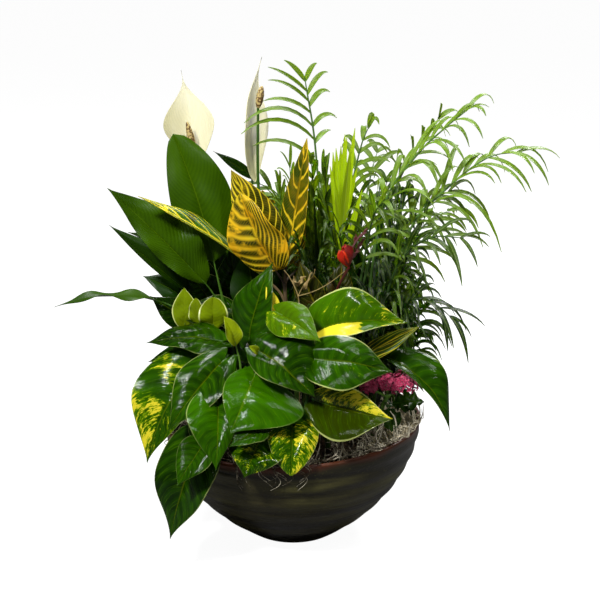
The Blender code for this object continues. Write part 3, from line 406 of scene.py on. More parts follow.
def makePothosMaterial(look):
    material, tree, shader = newMaterial("pothosLeaf", Specular_IOR_Level=0.14)
    ribs = placeGroup(tree, leafRibs, Count=9.0, Slant=2.2, RibWidth=0.09, MidribWidth=0.05)
    streaks = placeGroup(tree, variegation, Row=ribs["Row"], Across=ribs["Across"])
    cloud = objectNoise(tree, 26.0)
    # painted light and shade: dark or lit green by the shade trait; painted shade in the rib
    # grooves
    shade = clouded(tree, "shade", cloud, 0.9)
    shade = timesPlus(tree, ribs["Quilt"], 0.16, shade)
    colour = mixColours(tree, remap(tree, shade, 0.0, 1.0), look["dark"], look["lit"])
    fibre = addNode(tree, "CombineXYZ", {0: times(tree, ribs["Row"], 3.2),
                                         1: ribs["Across"], 2: trait(tree, "seed")}).outputs[0]
    fibre = noiseOf(tree, fibre, 2.2, 3.0)
    colour = mixColours(tree, remap(tree, fibre, 0.52, 0.74, 0.0, 0.28), colour, look["streak"])
    colour = tinted(tree, colour, ribs["Midrib"], 0.16, look["youngAndBacklitLime"])
    # warm mixes in the lime of young leaves, partly painted back light through the leaf
    colour = mixColours(tree, trait(tree, "warm"), colour, look["youngAndBacklitLime"])
    colour = tinted(tree, colour, streaks["Halo"], 0.75, look["halo"])
    colour = mixColours(tree, streaks["Patch"], colour, look["gold"])
    # pale margin, partly the leaf's own pale edge and partly a painted highlight along it
    edge = plus(tree, trait(tree, "rim"), remap(tree, cloud, 0.40, 0.62, 0.04, 0.34))
    edge = times(tree, ribs["Margin"], edge)
    colour = mixColours(tree, edge, colour, look["margin"])
    colour = tinted(tree, colour, trait(tree, "under"), 0.65, look["under"])
    ripple = objectNoise(tree, 100.0, detail=2.0)
    fine = objectNoise(tree, 520.0, detail=2.0)
    height = timesPlus(tree, ribs["Quilt"], 0.30, times(tree, ripple, 0.30))
    height = timesPlus(tree, fibre, 1.0, height)
    height = timesPlus(tree, fine, 0.10, height)
    height = timesPlus(tree, ribs["Midrib"], -0.6, height)
    gloss = timesPlus(tree, ripple, 0.16, 0.03)
    gloss = timesPlus(tree, trait(tree, "under"), 0.3, gloss)
    connect(tree, shader, colour, gloss, height, strength=0.42, distance=0.0008)
    return material


stalkLook = {"dark": rgb(28, 66, 14), "lit": rgb(104, 150, 44)}


def makeStalkMaterial(name, dark, lit, roughness=0.4):
    material, tree, shader = newMaterial(name, Specular_IOR_Level=0.5)
    grain = objectNoise(tree, 90.0, stretch=(6.0, 6.0, 1.0))
    # painted light and shade: dark or lit stalk colour by the shade trait, with a grain of tone
    shade = clouded(tree, "shade", grain, 0.8)
    colour = mixColours(tree, remap(tree, shade, 0.0, 1.0), dark, lit)
    rough = timesPlus(tree, grain, 0.2, roughness - 0.1)
    connect(tree, shader, colour, rough, grain, strength=0.25, distance=0.0006)
    return material


lilyLook = {
    "dark": rgb(14, 40, 0),
    "lit": rgb(74, 112, 0),
    "rib": rgb(92, 124, 14),
    "under": rgb(74, 104, 44),
}


def makeLilyMaterial(look):
    material, tree, shader = newMaterial("lilyLeaf", Specular_IOR_Level=0.08)
    ribs = placeGroup(tree, leafRibs, Count=24.0, Slant=7.0, RibWidth=0.16, MidribWidth=0.045,
                      Wander=0.8)
    cloud = objectNoise(tree, 16.0)
    # painted light and shade: dark or lit green by the shade trait; painted shade in the rib
    # grooves
    shade = clouded(tree, "shade", cloud, 0.7)
    shade = timesPlus(tree, ribs["Quilt"], 0.06, shade)
    colour = mixColours(tree, remap(tree, shade, 0.0, 1.1), look["dark"], look["lit"])
    colour = tinted(tree, colour, ribs["Midrib"], 0.4, look["rib"])
    colour = tinted(tree, colour, trait(tree, "under"), 0.6, look["under"])
    fine = objectNoise(tree, 260.0, detail=2.0)
    relief = timesPlus(tree, trait(tree, "rim"), 0.45, 0.06)
    height = times(tree, ribs["Quilt"], relief)
    height = timesPlus(tree, fine, 0.15, height)
    height = timesPlus(tree, ribs["Midrib"], -0.8, height)
    gloss = timesPlus(tree, fine, 0.12, 0.30)
    connect(tree, shader, colour, gloss, height, strength=0.5, distance=0.0010)
    return material


crotonLook = {
    "dark": rgb(34, 40, 2),
    "green": rgb(40, 88, 4),
    "red": rgb(58, 26, 6),
    "yellow": rgb(230, 212, 44),
    "orange": rgb(240, 170, 12),
    "olive": rgb(140, 124, 8),
}


def makeCrotonMaterial(look):
    material, tree, shader = newMaterial("crotonLeaf", Specular_IOR_Level=0.25)
    width = timesPlus(tree, trait(tree, "gold"), 0.36, 0.05)
    ribs = placeGroup(tree, leafRibs, Count=9.0, Slant=2.6, RibWidth=width, MidribWidth=0.11,
                      Wander=0.7)
    cloud = objectNoise(tree, 60.0, detail=4.0)
    gold = trait(tree, "gold")
    # painted light and shade: the shade trait darkens or lightens the green body
    light = remap(tree, trait(tree, "shade"), 0.0, 1.0)
    body = mixColours(tree, light, look["dark"], look["green"])
    body = mixColours(tree, remap(tree, cloud, 0.56, 0.66, 0.0, 0.5), body, look["red"])
    tint = times(tree, trait(tree, "warm"), remap(tree, cloud, 0.40, 0.62, 0.1, 1.1))
    body = mixColours(tree, times(tree, tint, 0.8), body, look["olive"])
    branch = timesPlus(tree, ribs["Along"], 34.0, times(tree, ribs["Across"], 6.0))
    twigs = remap(tree, mathOf(tree, "PINGPONG", timesPlus(tree, cloud, 3.0, branch), 0.5),
                  0.0, 0.12, 1.0, 0.0)
    twigs = times(tree, twigs, times(tree, gold, 0.55))
    veins = most(tree, times(tree, ribs["Rib"], remap(tree, gold, 0.0, 0.25)), twigs)
    spine = times(tree, ribs["Midrib"], remap(tree, gold, 0.02, 0.16, 0.15, 1.0))
    veins = most(tree, veins, spine)
    margin = times(tree, ribs["Margin"], remap(tree, gold, 0.1, 0.5, 0.2, 1.0))
    veins = most(tree, veins, margin)
    flood = remap(tree, timesPlus(tree, gold, 0.50, cloud), 0.98, 1.08)
    veins = most(tree, veins, flood)
    warm = clouded(tree, "warm", cloud, 0.8)
    glow = mixColours(tree, remap(tree, warm, 0.1, 0.9), look["yellow"], look["orange"])
    colour = mixColours(tree, veins, body, glow)
    colour = tinted(tree, colour, trait(tree, "under"), 0.5, look["red"])
    height = timesPlus(tree, ribs["Rib"], -0.5, times(tree, ribs["Midrib"], -0.9))
    height = timesPlus(tree, ribs["Quilt"], 0.4, height)
    gloss = timesPlus(tree, cloud, 0.25, 0.20)
    connect(tree, shader, colour, gloss, height, strength=0.5, distance=0.0014)
    return material


palmLook = {
    "dark": rgb(8, 30, 2),
    "lit": rgb(102, 138, 24),
    "fresh": rgb(148, 178, 2),
    "rib": rgb(150, 172, 80),
}


def makePalmMaterial(look):
    material, tree, shader = newMaterial("palmLeaf", Specular_IOR_Level=0.2, Subsurface_Weight=0.35,
                                         Subsurface_Radius=(0.7, 1.0, 0.1), Subsurface_Scale=0.004)
    ribs = placeGroup(tree, leafRibs, Count=1.0, Slant=0.0, MidribWidth=0.22)
    uv = addNode(tree, "UVMap", uv_map="leaf").outputs[0]
    lines = addNode(tree, "Mapping", {0: uv, 3: (9.0, 0.6, 1.0)}).outputs[0]
    grain = noiseOf(tree, lines, 2.0)
    # painted light and shade: dark or lit green by the shade trait, with a grain of tone
    shade = clouded(tree, "shade", grain, 0.6)
    colour = mixColours(tree, remap(tree, shade, 0.0, 1.0), look["dark"], look["lit"])
    colour = mixColours(tree, trait(tree, "warm"), colour, look["fresh"])
    colour = tinted(tree, colour, ribs["Midrib"], 0.35, look["rib"])
    height = timesPlus(tree, grain, 0.6, times(tree, ribs["Midrib"], -0.8))
    gloss = timesPlus(tree, grain, 0.15, 0.28)
    connect(tree, shader, colour, gloss, height, strength=0.5, distance=0.0006)
    return material


pothosLeaf = makePothosMaterial(pothosLook)
lilyLeaf = makeLilyMaterial(lilyLook)
crotonLeaf = makeCrotonMaterial(crotonLook)
palmLeaf = makePalmMaterial(palmLook)
greenStalk = makeStalkMaterial("greenStalk", stalkLook["dark"], stalkLook["lit"])
palmStalk = makeStalkMaterial("palmStalk", rgb(26, 50, 18), rgb(88, 128, 52))
woodyStem = makeStalkMaterial("woodyStem", rgb(34, 24, 14), rgb(104, 84, 52), 0.7)
print("leaf materials ready")


# Leaves

# name: where it is widest, roundness at the base, sharpness at the tip, share at the base, lobes
outlines = {
    "heart": (0.66, 0.60, 1.30, 0.42, 0.14),
    "lance": (0.80, 0.80, 1.25, 0.0, 0.0),
    "oval": (0.95, 0.75, 1.00, 0.0, 0.0),
    "strap": (0.90, 0.55, 0.95, 0.0, 0.0),
    "broad": (0.78, 0.62, 0.72, 0.0, 0.0),
    "spathe": (0.82, 0.70, 1.70, 0.0, 0.0),
}
leafGrid = {"across": 16, "along": 26, "thickness": 0.00045, "least": 0.00018}
# radii of the stems from foot to end, and of the leaves' stalks
stalks = {
    "lily": (0.0026, 0.0022),
    "lilyLeaf": 0.0021,
    "plant": (0.0026, 0.0024, 0.0018, 0.0012),
    "leaf": 0.0013,
    "extra": 0.0012,
    "end": 0.0003,              # where a stalk ends inside its leaf
}


def blade(base, tip, face, width, start=0.95, **more):
    # a leaf from where its base and tip are seen, the way it faces, its width in millimetres and
    # the share of its stem that it starts from
    return {"base": base, "tip": tip, "face": face, "width": width / 1000, "start": start, **more}


def leafSpine(leaf):
    base, tip = leaf["ends"] if "ends" in leaf else (seen(*leaf["base"]), seen(*leaf["tip"]))
    chord = tip - base
    along = chord.normalized()
    face = Vector(leaf["face"])
    face = (face - along * face.dot(along)).normalized()
    low, high = leaf.get("arch", (0.10, 0.10))
    bend = along.cross(face) * leaf.get("bend", 0.0) * chord.length
    return (base, base + chord / 3 + face * low * chord.length + bend,
            base + chord * 2 / 3 + face * high * chord.length + bend, tip), face


def leafSurface(leaf):
    spine, face = leafSpine(leaf)
    length = (spine[3] - spine[0]).length
    peak, blunt, sharp, heel, lobe = outlines[leaf.get("outline", "heart")]
    sharp = leaf.get("sharp", sharp)
    fold = math.radians(leaf.get("fold", 15))
    crown = leaf.get("crown", 0.10)
    wave, waves = leaf.get("wave", 0.10), leaf.get("waves", 1.7)
    cup = leaf.get("cup", 0.0)
    twist = math.radians(leaf.get("twist", 0))
    halves = leaf.get("halves", (1.0, 1.0))
    phase = leaf["seed"] * 9.0

    def halfWidth(t):
        swell = math.sin(math.pi * t**peak) if 0.0 < t < 1.0 else 0.0
        rounded = swell ** (blunt + (sharp - blunt) * t)
        return max(leaf["width"] / 2 * max(rounded, heel * (1 - t * 4)), leafGrid["least"])

    def surface(u, t):
        middle, slope = bezier(spine, t), bezierSlope(spine, t)
        out = (face - slope * face.dot(slope)).normalized()
        side = slope.cross(out)
        turn = twist * t
        side, out = turned(side, out, turn), out * math.cos(turn) - side * math.sin(turn)
        half = halfWidth(t) * halves[1 if u > 0 else 0]
        reach = abs(u) * half
        back = lobe * length * math.sin(math.pi * 0.8 * abs(u)) * (1 - t) ** 3
        groove = 0.0006
        lift = math.hypot(reach * math.sin(fold), groove) - groove
        lift += cup * reach * reach / leaf["width"]
        lift += crown * half * (math.sin(math.pi * abs(u) ** 0.8) - 0.9 * abs(u) ** 3)
        ripple = math.sin(2 * math.pi * (waves * t + (0.11 if u > 0 else 0.38)) + phase)
        lift += wave * reach * abs(u) * ripple
        lift += 0.12 * half * bumps(u * 1.4, t * 3.2, leaf["seed"] * 17.0)
        return (middle + side * math.copysign(reach * math.cos(fold), u) + out * lift
                - slope * back)

    return surface


def goldOf(leaf):
    # bands of variegation: the side of the leaf (0 for both), from and to along it, how much
    bands = leaf.get("gold", ())

    def gold(u, t):
        most = 0.0
        for hand, start, end, amount in bands:
            inside = smoothstep(start - 0.08, start + 0.04, t)
            inside *= 1 - smoothstep(end - 0.04, end + 0.08, t)
            if hand:
                inside *= smoothstep(-0.02, 0.10, u * hand)
            most = max(most, inside * amount)
        return most

    return gold


def addLeaf(shape, leaf, material=0):
    sweep = leaf.get("sweep", (0.0, 0.0))
    traits = {"shade": leaf.get("shade", 0.5), "gold": goldOf(leaf), "warm": leaf.get("warm", 0.0),
              "seed": leaf["seed"], "rows": leaf.get("rows", 0.0), "rim": leaf.get("rim", 0.0),
              "sweep": lambda u, t: sweep[1 if u > 0 else 0]}
    across, along = leaf.get("grid", (leafGrid["across"], leafGrid["along"]))
    addSheet(shape, across, along, leafSurface(leaf), traits, leafGrid["thickness"], material)


def addPetiole(shape, start, climb, leaf, radius, steps=9, material=1):
    spine, _ = leafSpine(leaf)
    heart = outlines[leaf.get("outline", "heart")][3] > 0
    end = bezier(spine, 0.02)
    slope = bezierSlope(spine, 0.0)
    reach = (end - start).length
    arc = (start, start + climb * reach * 0.45, end - slope * reach * 0.35, end)
    points = [bezier(arc, step / steps) for step in range(steps + 1)]
    points.append(bezier(spine, 0.16 if heart else 0.20))
    addStem(shape, points, [radius, radius * 0.8, radius * 0.7, stalks["end"]], 6, material,
            leaf.get("shade", 0.5))


bowl = {
    "height": 0.115,
    "rimRadius": 0.127,
    "footRadius": 0.044,
    "wall": 0.006,
    "floor": 0.009,
    "slant": 0.006,             # the right side of the rim stands this much higher
    "ridges": 7,
    "ridgeHeight": 0.0009,
    "rustFrom": 0.105,          # the height where the rusty lip begins
    "sides": 168,
    "rows": 56,
}
soil = {"edge": 0.098, "dome": 0.010, "crumbs": 0.0014, "planted": 0.012, "collar": 0.004}


def soilHeight(x, y):
    share = min(math.hypot(x, y) / (bowl["rimRadius"] - bowl["wall"]), 1.0)
    height = soil["edge"] + soil["dome"] * (1 - share * share)
    return height + bowl["slant"] * height / bowl["height"] * x / bowl["rimRadius"]


def footOf(root):
    x, y = root
    top = soilHeight(x, y)
    return [Vector((x, y, top - soil["planted"])), Vector((x, y, top + soil["collar"]))]


def rootedStem(shape, root, points, steps, radii, sides=8, material=1, shade=0.5):
    # a stem from the soil through the points; what comes back is its path above the soil
    foot = footOf(root)
    path = smoothPath([foot[1], *points], steps)
    addStem(shape, [foot[0], *path], radii, sides, material, shade)
    return path


def makeLilyLeaf(number, leaf):
    leaf.update(outline="lance", seed=(number - 1) * 0.137 % 1.0)
    shape = newShape()
    foot = footOf(leaf["root"])
    addStem(shape, foot, stalks["lily"])
    addPetiole(shape, foot[1], up, leaf, stalks["lilyLeaf"], 14)
    addLeaf(shape, leaf)
    makePiece(f"peaceLilyLeaf{number}", shape, [lilyLeaf, greenStalk],
              [f"peace_lily_leaf_{number}"])


def makeLeafyStem(name, node, plant, materials, order):
    shape = newShape()
    path = rootedStem(shape, plant["root"], allSeen(plant["stem"]), 5, stalks["plant"])
    for number, leaf in enumerate(plant["leaves"]):
        leaf["seed"] = (order * 0.211 + number * 0.377) % 1.0
        addPetiole(shape, *alongPath(path, leaf["start"]), leaf,
                   plant.get("stalk", stalks["leaf"]))
        addLeaf(shape, leaf)
    for extra in plant.get("extras", ()):
        extra["seed"] = 0.5
        addPetiole(shape, seen(*extra["stem"]), up, extra, stalks["extra"])
        addLeaf(shape, extra)
    makePiece(name, shape, materials, [node])


peaceLilies = {
    1: blade((214, 262, 12), (173, 134, 30), (0.15, -1.0, 0.25), 62, root=(-0.056, 0.02),
        arch=(0.03, 0.02), bend=0.03, fold=10, sharp=0.56, shade=0.45, wave=0.05,
        halves=(0.88, 1.12)),
    2: blade((206, 284, 0), (107, 188, -10), (-0.35, -0.75, 0.55), 58, root=(-0.07, 0.012),
        arch=(0.1, 0.03), fold=12, shade=0.42, halves=(0.55, 1.0), wave=0.26, waves=3.2, bend=0.02,
        rim=1.0, twist=-18),
    3: blade((188, 292, 28), (109, 225, 26), (-0.3, -0.8, 0.45), 40, root=(-0.08, 0.026),
        arch=(0.12, 0.08), shade=0.2, halves=(0.22, 0.8), wave=0.2),
    4: blade((165, 303, 6), (54, 307, -24), (0.05, -0.02, 1.0), 24, root=(-0.082, 0.012),
        arch=(0.12, 0.12), fold=14, shade=0.35, wave=0.3, waves=2.2),
    5: blade((192, 305, 48), (143, 276, 52), (0.0, -0.5, 0.85), 34, root=(-0.066, 0.036),
        arch=(0.12, 0.1), shade=0.15),
    6: blade((232, 292, 62), (160, 262, 70), (0.0, -0.6, 0.8), 42, root=(-0.048, 0.034),
        arch=(0.15, 0.1), shade=0.2),
    7: blade((222, 262, 85), (204, 172, 115), (0.0, 0.9, 0.45), 56, root=(-0.066, 0.05),
        arch=(0.08, 0.08)),
    8: blade((190, 280, 85), (128, 232, 110), (-0.3, 0.5, 0.8), 50, root=(-0.074, 0.046),
        arch=(0.12, 0.12), shade=0.45),
    9: blade((232, 310, 120), (205, 318, 215), (-0.1, 0.2, 1.0), 54, root=(-0.058, 0.066),
        arch=(0.22, 0.16), shade=0.55),
    10: blade((258, 318, 30), (246, 246, 44), (-0.1, -0.8, 0.5), 46, root=(-0.03, 0.024),
        arch=(0.08, 0.08), shade=0.15),
}

for number, leaf in peaceLilies.items():
    makeLilyLeaf(number, leaf)
print("peace lily leaves made:", len(peaceLilies))


crotons = {
    "crotonFront": dict(root=(-0.012, 0.01), stalk=0.0017, stem=[(286, 330, 8), (285, 285, 8),
        (286, 262, 10)], leaves=[
        blade((276, 271, -6), (240, 193, -22), (-0.5, -0.8, 0.4), 62, start=0.8, arch=(0.04, 0.05),
            fold=22, outline="broad", gold=[(-1, -0.1, 1.1, 0.95), (1, -0.1, 1.1, 0.9),
            (0, 0.88, 1.1, 1.3)], warm=0.52, shade=0.15, sweep=(-0.45, 1.3), rows=-0.12),
        blade((284, 266, 8), (231, 170, 2), (-0.1, -0.9, 0.35), 42, arch=(0.06, 0.06),
            outline="oval", gold=[(0, -0.1, 1.1, 0.28), (0, 0.75, 1.1, 0.8)], warm=0.3, shade=0.1),
        blade((288, 266, 8), (307, 138, 4), (-0.3, -0.95, 0.05), 27, arch=(0.04, 0.03), twist=18,
            outline="strap", gold=[(0, -0.1, 0.4, 0.55), (-1, 0.35, 0.85, 0.18),
            (1, 0.35, 0.85, 0.34), (0, 0.9, 1.1, 1.0)], warm=0.45, shade=0.35, rows=-0.15,
            sweep=(-0.6, -0.6)),
        blade((262, 276, 10), (138, 196, -38), (0.0, -0.3, 0.95), 36, start=0.7, arch=(0.06, 0.04),
            halves=(0.25, 1.0), outline="strap", gold=[(0, -0.1, 0.7, 0.24), (0, 0.72, 1.1, 0.85)],
            shade=1.0),
        blade((297, 268, 20), (303, 212, 24), (-0.6, -0.8, 0.0), 16, start=0.85, arch=(0.04, 0.03),
            outline="strap", gold=[(0, -0.1, 1.1, 0.3)], warm=0.6, shade=0.4),
    ]),
    "crotonLow": dict(root=(0.03, -0.012), stalk=0.0015, stem=[(328, 385, -18), (330, 350, -30)],
        leaves=[
        blade((344, 366, -48), (419, 327, -62), (-0.1, -0.62, 0.78), 40, start=0.7,
            arch=(-0.02, 0.06), halves=(0.5, 0.7), rows=-0.72, outline="oval",
            gold=[(0, -0.1, 1.1, 0.2)]),
        blade((322, 318, -30), (300, 262, -26), (-0.4, -0.85, 0.35), 30, outline="strap", shade=0.0,
            gold=[(0, -0.1, 1.1, 0.05)]),
        blade((336, 312, -24), (342, 262, -16), (0.1, -0.9, 0.35), 26, outline="strap", shade=0.0,
            gold=[(0, -0.1, 1.1, 0.05)]),
    ]),
    "crotonBack": dict(root=(-0.006, 0.062), stalk=0.0015, stem=[(292, 330, 85), (290, 280, 95)],
        leaves=[
        blade((284, 255, 105), (262, 190, 130), (-0.2, 0.8, 0.5), 44, outline="oval",
            gold=[(0, -0.1, 1.1, 0.5)], warm=0.4),
        blade((300, 262, 104), (316, 215, 126), (0.3, 0.6, 0.7), 42, start=0.9, outline="oval",
            gold=[(0, -0.1, 1.1, 0.4)], warm=0.2),
        blade((290, 300, 120), (280, 300, 205), (0.0, 0.2, 1.0), 44, start=0.8, arch=(0.18, 0.14),
            outline="oval", gold=[(0, -0.1, 1.1, 0.6)], warm=0.6),
    ]),
}

for order, (name, plant) in enumerate(crotons.items()):
    makeLeafyStem(name, f"croton_stem_{order + 1}", plant, [crotonLeaf, woodyStem],
                  order)
print("crotons made:", len(crotons))


pothos = {
    1: dict(root=(0.004, -0.034), stem=[(296, 375, -45), (290, 345, -62)], leaves=[
        blade((313, 334, -62), (408, 323, -72), (0.1, -0.7, 0.75), 70, fold=26, arch=(0.26, 0.18),
            halves=(1.0, 0.55), warm=0.04, rim=0.4, gold=[(1, -0.1, 0.52, 1.3),
            (0, 0.74, 1.0, 0.62), (-1, 0.2, 0.7, 0.36)]),
        blade((276, 312, -76), (321, 342, -114), (-0.3, -0.6, 0.8), 42, start=0.9, shade=0.55,
            halves=(0.9, 1.0), warm=0.1, gold=[(1, -0.1, 0.8, 0.46)]),
        blade((277, 317, -60), (266, 287, -56), (0.35, -0.9, 0.3), 13, start=0.9, outline="oval",
            warm=0.7, shade=0.9, gold=[(0, -0.1, 1.1, 1.5)]),
        blade((249, 340, -52), (273, 262, -44), (-0.5, -0.8, 0.35), 48, start=0.85, shade=0.3),
        blade((257, 350, -100), (315, 397, -126), (0.15, -0.7, 0.7), 56, start=0.9, shade=0.25,
            halves=(1.6, 0.8)),
        blade((311, 359, -104), (393, 372, -118), (0.1, -0.75, 0.65), 55, halves=(0.95, 1.15),
            fold=14, shade=0.3, rim=0.2, gold=[(0, 0.3, 0.9, 0.2)]),
        blade((254, 376, -108), (230, 434, -146), (0.15, -0.8, 0.55), 64, start=0.8, fold=8,
            halves=(1.72, 0.7), crown=0.04, shade=0.62, wave=0.03),
    ]),
    2: dict(root=(-0.052, -0.03), stem=[(232, 385, -50), (222, 352, -55)], leaves=[
        blade((200, 364, -60), (147, 463, -88), (-0.4, -0.85, 0.4), 62, start=0.85, fold=12,
            shade=0.4, halves=(0.8, 1.3), bend=0.06, crown=0.05, gold=[(1, 0.12, 0.32, 0.62),
            (1, 0.46, 1.1, 0.72), (-1, 0.5, 1.1, 0.45)]),
        blade((224, 360, -88), (168, 431, -126), (-0.1, -0.7, 0.72), 50, start=0.8, shade=0.22),
        blade((222, 341, -44), (146, 343, -50), (-0.05, -0.35, 0.95), 46, fold=10, shade=0.2),
        blade((212, 354, -26), (148, 362, -26), (-0.1, -0.4, 0.9), 44, start=0.7, shade=0.25,
            gold=[(0, 0.3, 1.0, 0.2)]),
        blade((185, 331, -14), (184, 288, -14), (0.1, -0.95, 0.2), 25, start=0.9, outline="oval",
            warm=0.5, rim=1.0, sharp=0.9, fold=8, crown=0.05),
        blade((198, 326, -18), (196, 298, -22), (-0.2, -0.95, 0.2), 16, start=0.84, outline="oval",
            warm=0.5, rim=1.0, wave=0.2, waves=2.4, sharp=0.6, fold=12),
        blade((213, 330, -22), (213, 297, -26), (0.1, -0.95, 0.3), 29, start=0.99, outline="oval",
            warm=0.5, rim=1.0, wave=0.14, waves=1.8, sharp=0.5, fold=10),
    ], extras=[
        blade((236, 346, -76), (224, 316, -80), (0.5, -0.8, 0.2), 20, stem=(241, 376, -70), fold=34,
            warm=0.85, rim=0.3, shade=0.9, wave=0.2, waves=1.6, outline="oval"),
        blade((258, 353, -104), (249, 346, -112), (0.2, -0.8, 0.5), 10, stem=(262, 376, -90),
            fold=40, warm=0.9, rim=0.3, shade=0.9, outline="oval"),
    ]),
    3: dict(root=(-0.064, -0.052), stem=[(224, 414, -72), (218, 398, -84)], leaves=[
        blade((203, 434, -100), (170, 539, -122), (-0.4, -0.85, 0.35), 64, fold=14,
            arch=(0.12, 0.06), shade=0.14),
        blade((207, 440, -128), (177, 486, -148), (-0.25, -0.85, 0.45), 36, start=0.9, shade=0.3),
        blade((218, 397, -110), (216, 470, -153), (0.2, -0.9, 0.3), 48, halves=(0.7, 1.3),
            shade=0.45),
        blade((211, 420, -92), (197, 452, -120), (-0.3, -0.85, 0.4), 34, start=0.85, shade=0.25),
    ]),
    4: dict(root=(-0.01, -0.066), stem=[(286, 430, -82), (284, 412, -100)], leaves=[
        blade((292, 414, -108), (291, 476, -142), (0.1, -0.85, 0.5), 50, shade=0.4, sharp=0.7,
            gold=[(-1, 0.2, 1.0, 0.66), (1, 0.3, 1.1, 0.5)]),
        blade((262, 436, -118), (244, 478, -144), (-0.1, -0.85, 0.5), 56, start=0.7, shade=0.2,
            gold=[(0, 0.0, 1.0, 0.42)]),
        blade((264, 430, -132), (229, 447, -150), (-0.2, -0.6, 0.8), 26, start=0.85, shade=0.3),
        blade((246, 374, -88), (232, 432, -112), (-0.6, -0.75, 0.3), 30, start=0.6, shade=0.35),
    ]),
    5: dict(root=(0.034, -0.056), stem=[(318, 420, -78), (314, 402, -92)], leaves=[
        blade((316, 401, -110), (393, 419, -130), (0.05, -0.85, 0.5), 54, fold=20,
            arch=(-0.16, -0.12), halves=(0.8, 1.35), shade=0.12, warm=0.06, rim=0.4, cup=0.3,
            gold=[(-1, 0.05, 0.5, 0.62), (-1, 0.42, 1.1, 0.8), (1, 0.1, 1.0, 0.08)]),
    ]),
    6: dict(root=(0.078, -0.01), stem=[(374, 400, -24), (378, 372, -34)], leaves=[
        blade((384, 356, -44), (450, 431, -66), (0.45, -0.65, 0.65), 52, fold=20, arch=(0.3, 0.26),
            halves=(1.0, 0.32), shade=0.3),
        blade((392, 372, -12), (446, 392, 20), (0.5, -0.2, 0.9), 46, start=0.7, arch=(0.16, 0.14),
            shade=0.3),
    ]),
    7: dict(root=(0.04, 0.072), stem=[(340, 380, 80), (350, 360, 100)], leaves=[
        blade((352, 352, 126), (362, 405, 192), (0.1, 0.7, 0.8), 58, gold=[(0, 0.0, 1.0, 0.4)]),
        blade((378, 360, 100), (424, 392, 130), (0.6, 0.4, 0.8), 54, start=0.85,
            gold=[(1, 0.0, 1.0, 0.5)]),
        blade((320, 358, 116), (284, 404, 164), (-0.3, 0.7, 0.8), 54, start=0.75, shade=0.6),
    ]),
    8: dict(root=(-0.048, 0.074), stem=[(228, 385, 98), (222, 365, 106)], leaves=[
        blade((218, 350, 122), (198, 402, 180), (-0.5, 0.6, 0.8), 58, shade=0.6),
        blade((236, 354, 122), (250, 410, 192), (0.1, 0.7, 0.8), 54, start=0.85,
            gold=[(0, 0.2, 1.0, 0.5)]),
        blade((198, 366, 86), (150, 396, 96), (-0.7, 0.3, 0.8), 50, start=0.7, shade=0.4),
    ]),
}

for number, plant in pothos.items():
    makeLeafyStem(f"pothosVine{number}", f"pothos_vine_{number}", plant, [pothosLeaf, greenStalk],
                  number + 2)
print("pothos vines made:", len(pothos))


# Leaves deep inside the planting, which close it against the light, painted dark as shade
inner = {
    "count": 70,
    "radius": 0.082,
    "low": 0.122,
    "high": 0.245,
    "length": (0.050, 0.080),
    "front": -0.030,            # none of them comes nearer to the viewer than this
    "right": 0.092,
    "shades": (0.0, 0.16),
    "stalk": (0.0022, 0.0018, 0.0010),
    # leaves painted dark as shade, where they are seen: base, tip, width
    "placed": [((236, 300, 50), (230, 246, 40), 44), ((214, 306, 40), (186, 268, 34), 44),
        ((226, 304, 56), (216, 240, 50), 48), ((204, 304, 46), (200, 250, 46), 40),
        ((252, 176, 46), (213, 151, 40), 11), ((190, 322, 20), (150, 296, 16), 30),
        ((282, 306, 20), (282, 258, 26), 36), ((318, 318, 16), (318, 266, 22), 34),
        ((350, 318, 10), (352, 266, 14), 36), ((372, 352, 62), (366, 266, 62), 44),
        ((396, 350, 50), (398, 286, 50), 34), ((350, 306, 62), (347, 226, 62), 40),
        ((384, 306, 66), (380, 244, 66), 30)],
}


def makeInnerLeaves():
    shape = newShape()
    for order in range(inner["count"]):
        angle = rng.uniform(0.0, 2 * math.pi)
        radius = inner["radius"] * math.sqrt(rng.random())
        root = polar(radius, angle)
        rise = 1.0 - (radius / inner["radius"]) ** 2
        height = inner["low"] + (inner["high"] - inner["low"]) * rise * rng.random()
        away = polar(1.0, angle, rng.uniform(-0.2, 0.9)).normalized()
        base = Vector((root.x * 1.05, root.y * 1.05, height + 0.02))
        length = rng.uniform(*inner["length"])
        tip = base + away * length
        if min(base.y, tip.y) < inner["front"] or tip.x > inner["right"]:
            continue
        leaf = {"ends": (base, tip), "width": length * rng.uniform(0.5, 0.66),
                "face": (away.x * 0.4 + rng.uniform(-0.3, 0.3), away.y * 0.4 - 0.3, 0.8),
                "seed": rng.random(), "shade": rng.uniform(*inner["shades"]), "grid": (8, 12),
                "arch": (0.12, 0.12), "wave": 0.18}
        foot = footOf((root.x * 0.9, root.y * 0.9))
        middle = (foot[1] + base) / 2 + away * 0.006
        addStem(shape, [*foot, middle, base], inner["stalk"], 6, 1, 0.1)
        addLeaf(shape, leaf)
    for spot, end, width in inner["placed"]:
        base = seen(*spot)
        foot = footOf((base.x * 0.9, min(base.y, 0.08)))
        addStem(shape, [*foot, (foot[1] + base) / 2, base], inner["stalk"], 6, 1, 0.1)
        addLeaf(shape, blade(spot, end, (0.1, -0.9, 0.3), width, seed=rng.random(), shade=0.04,
                             arch=(0.1, 0.1)))
    makePiece("innerLeaves", shape, [pothosLeaf, greenStalk], [])


makeInnerLeaves()
print("inner leaves made:", inner["count"])


# Palm

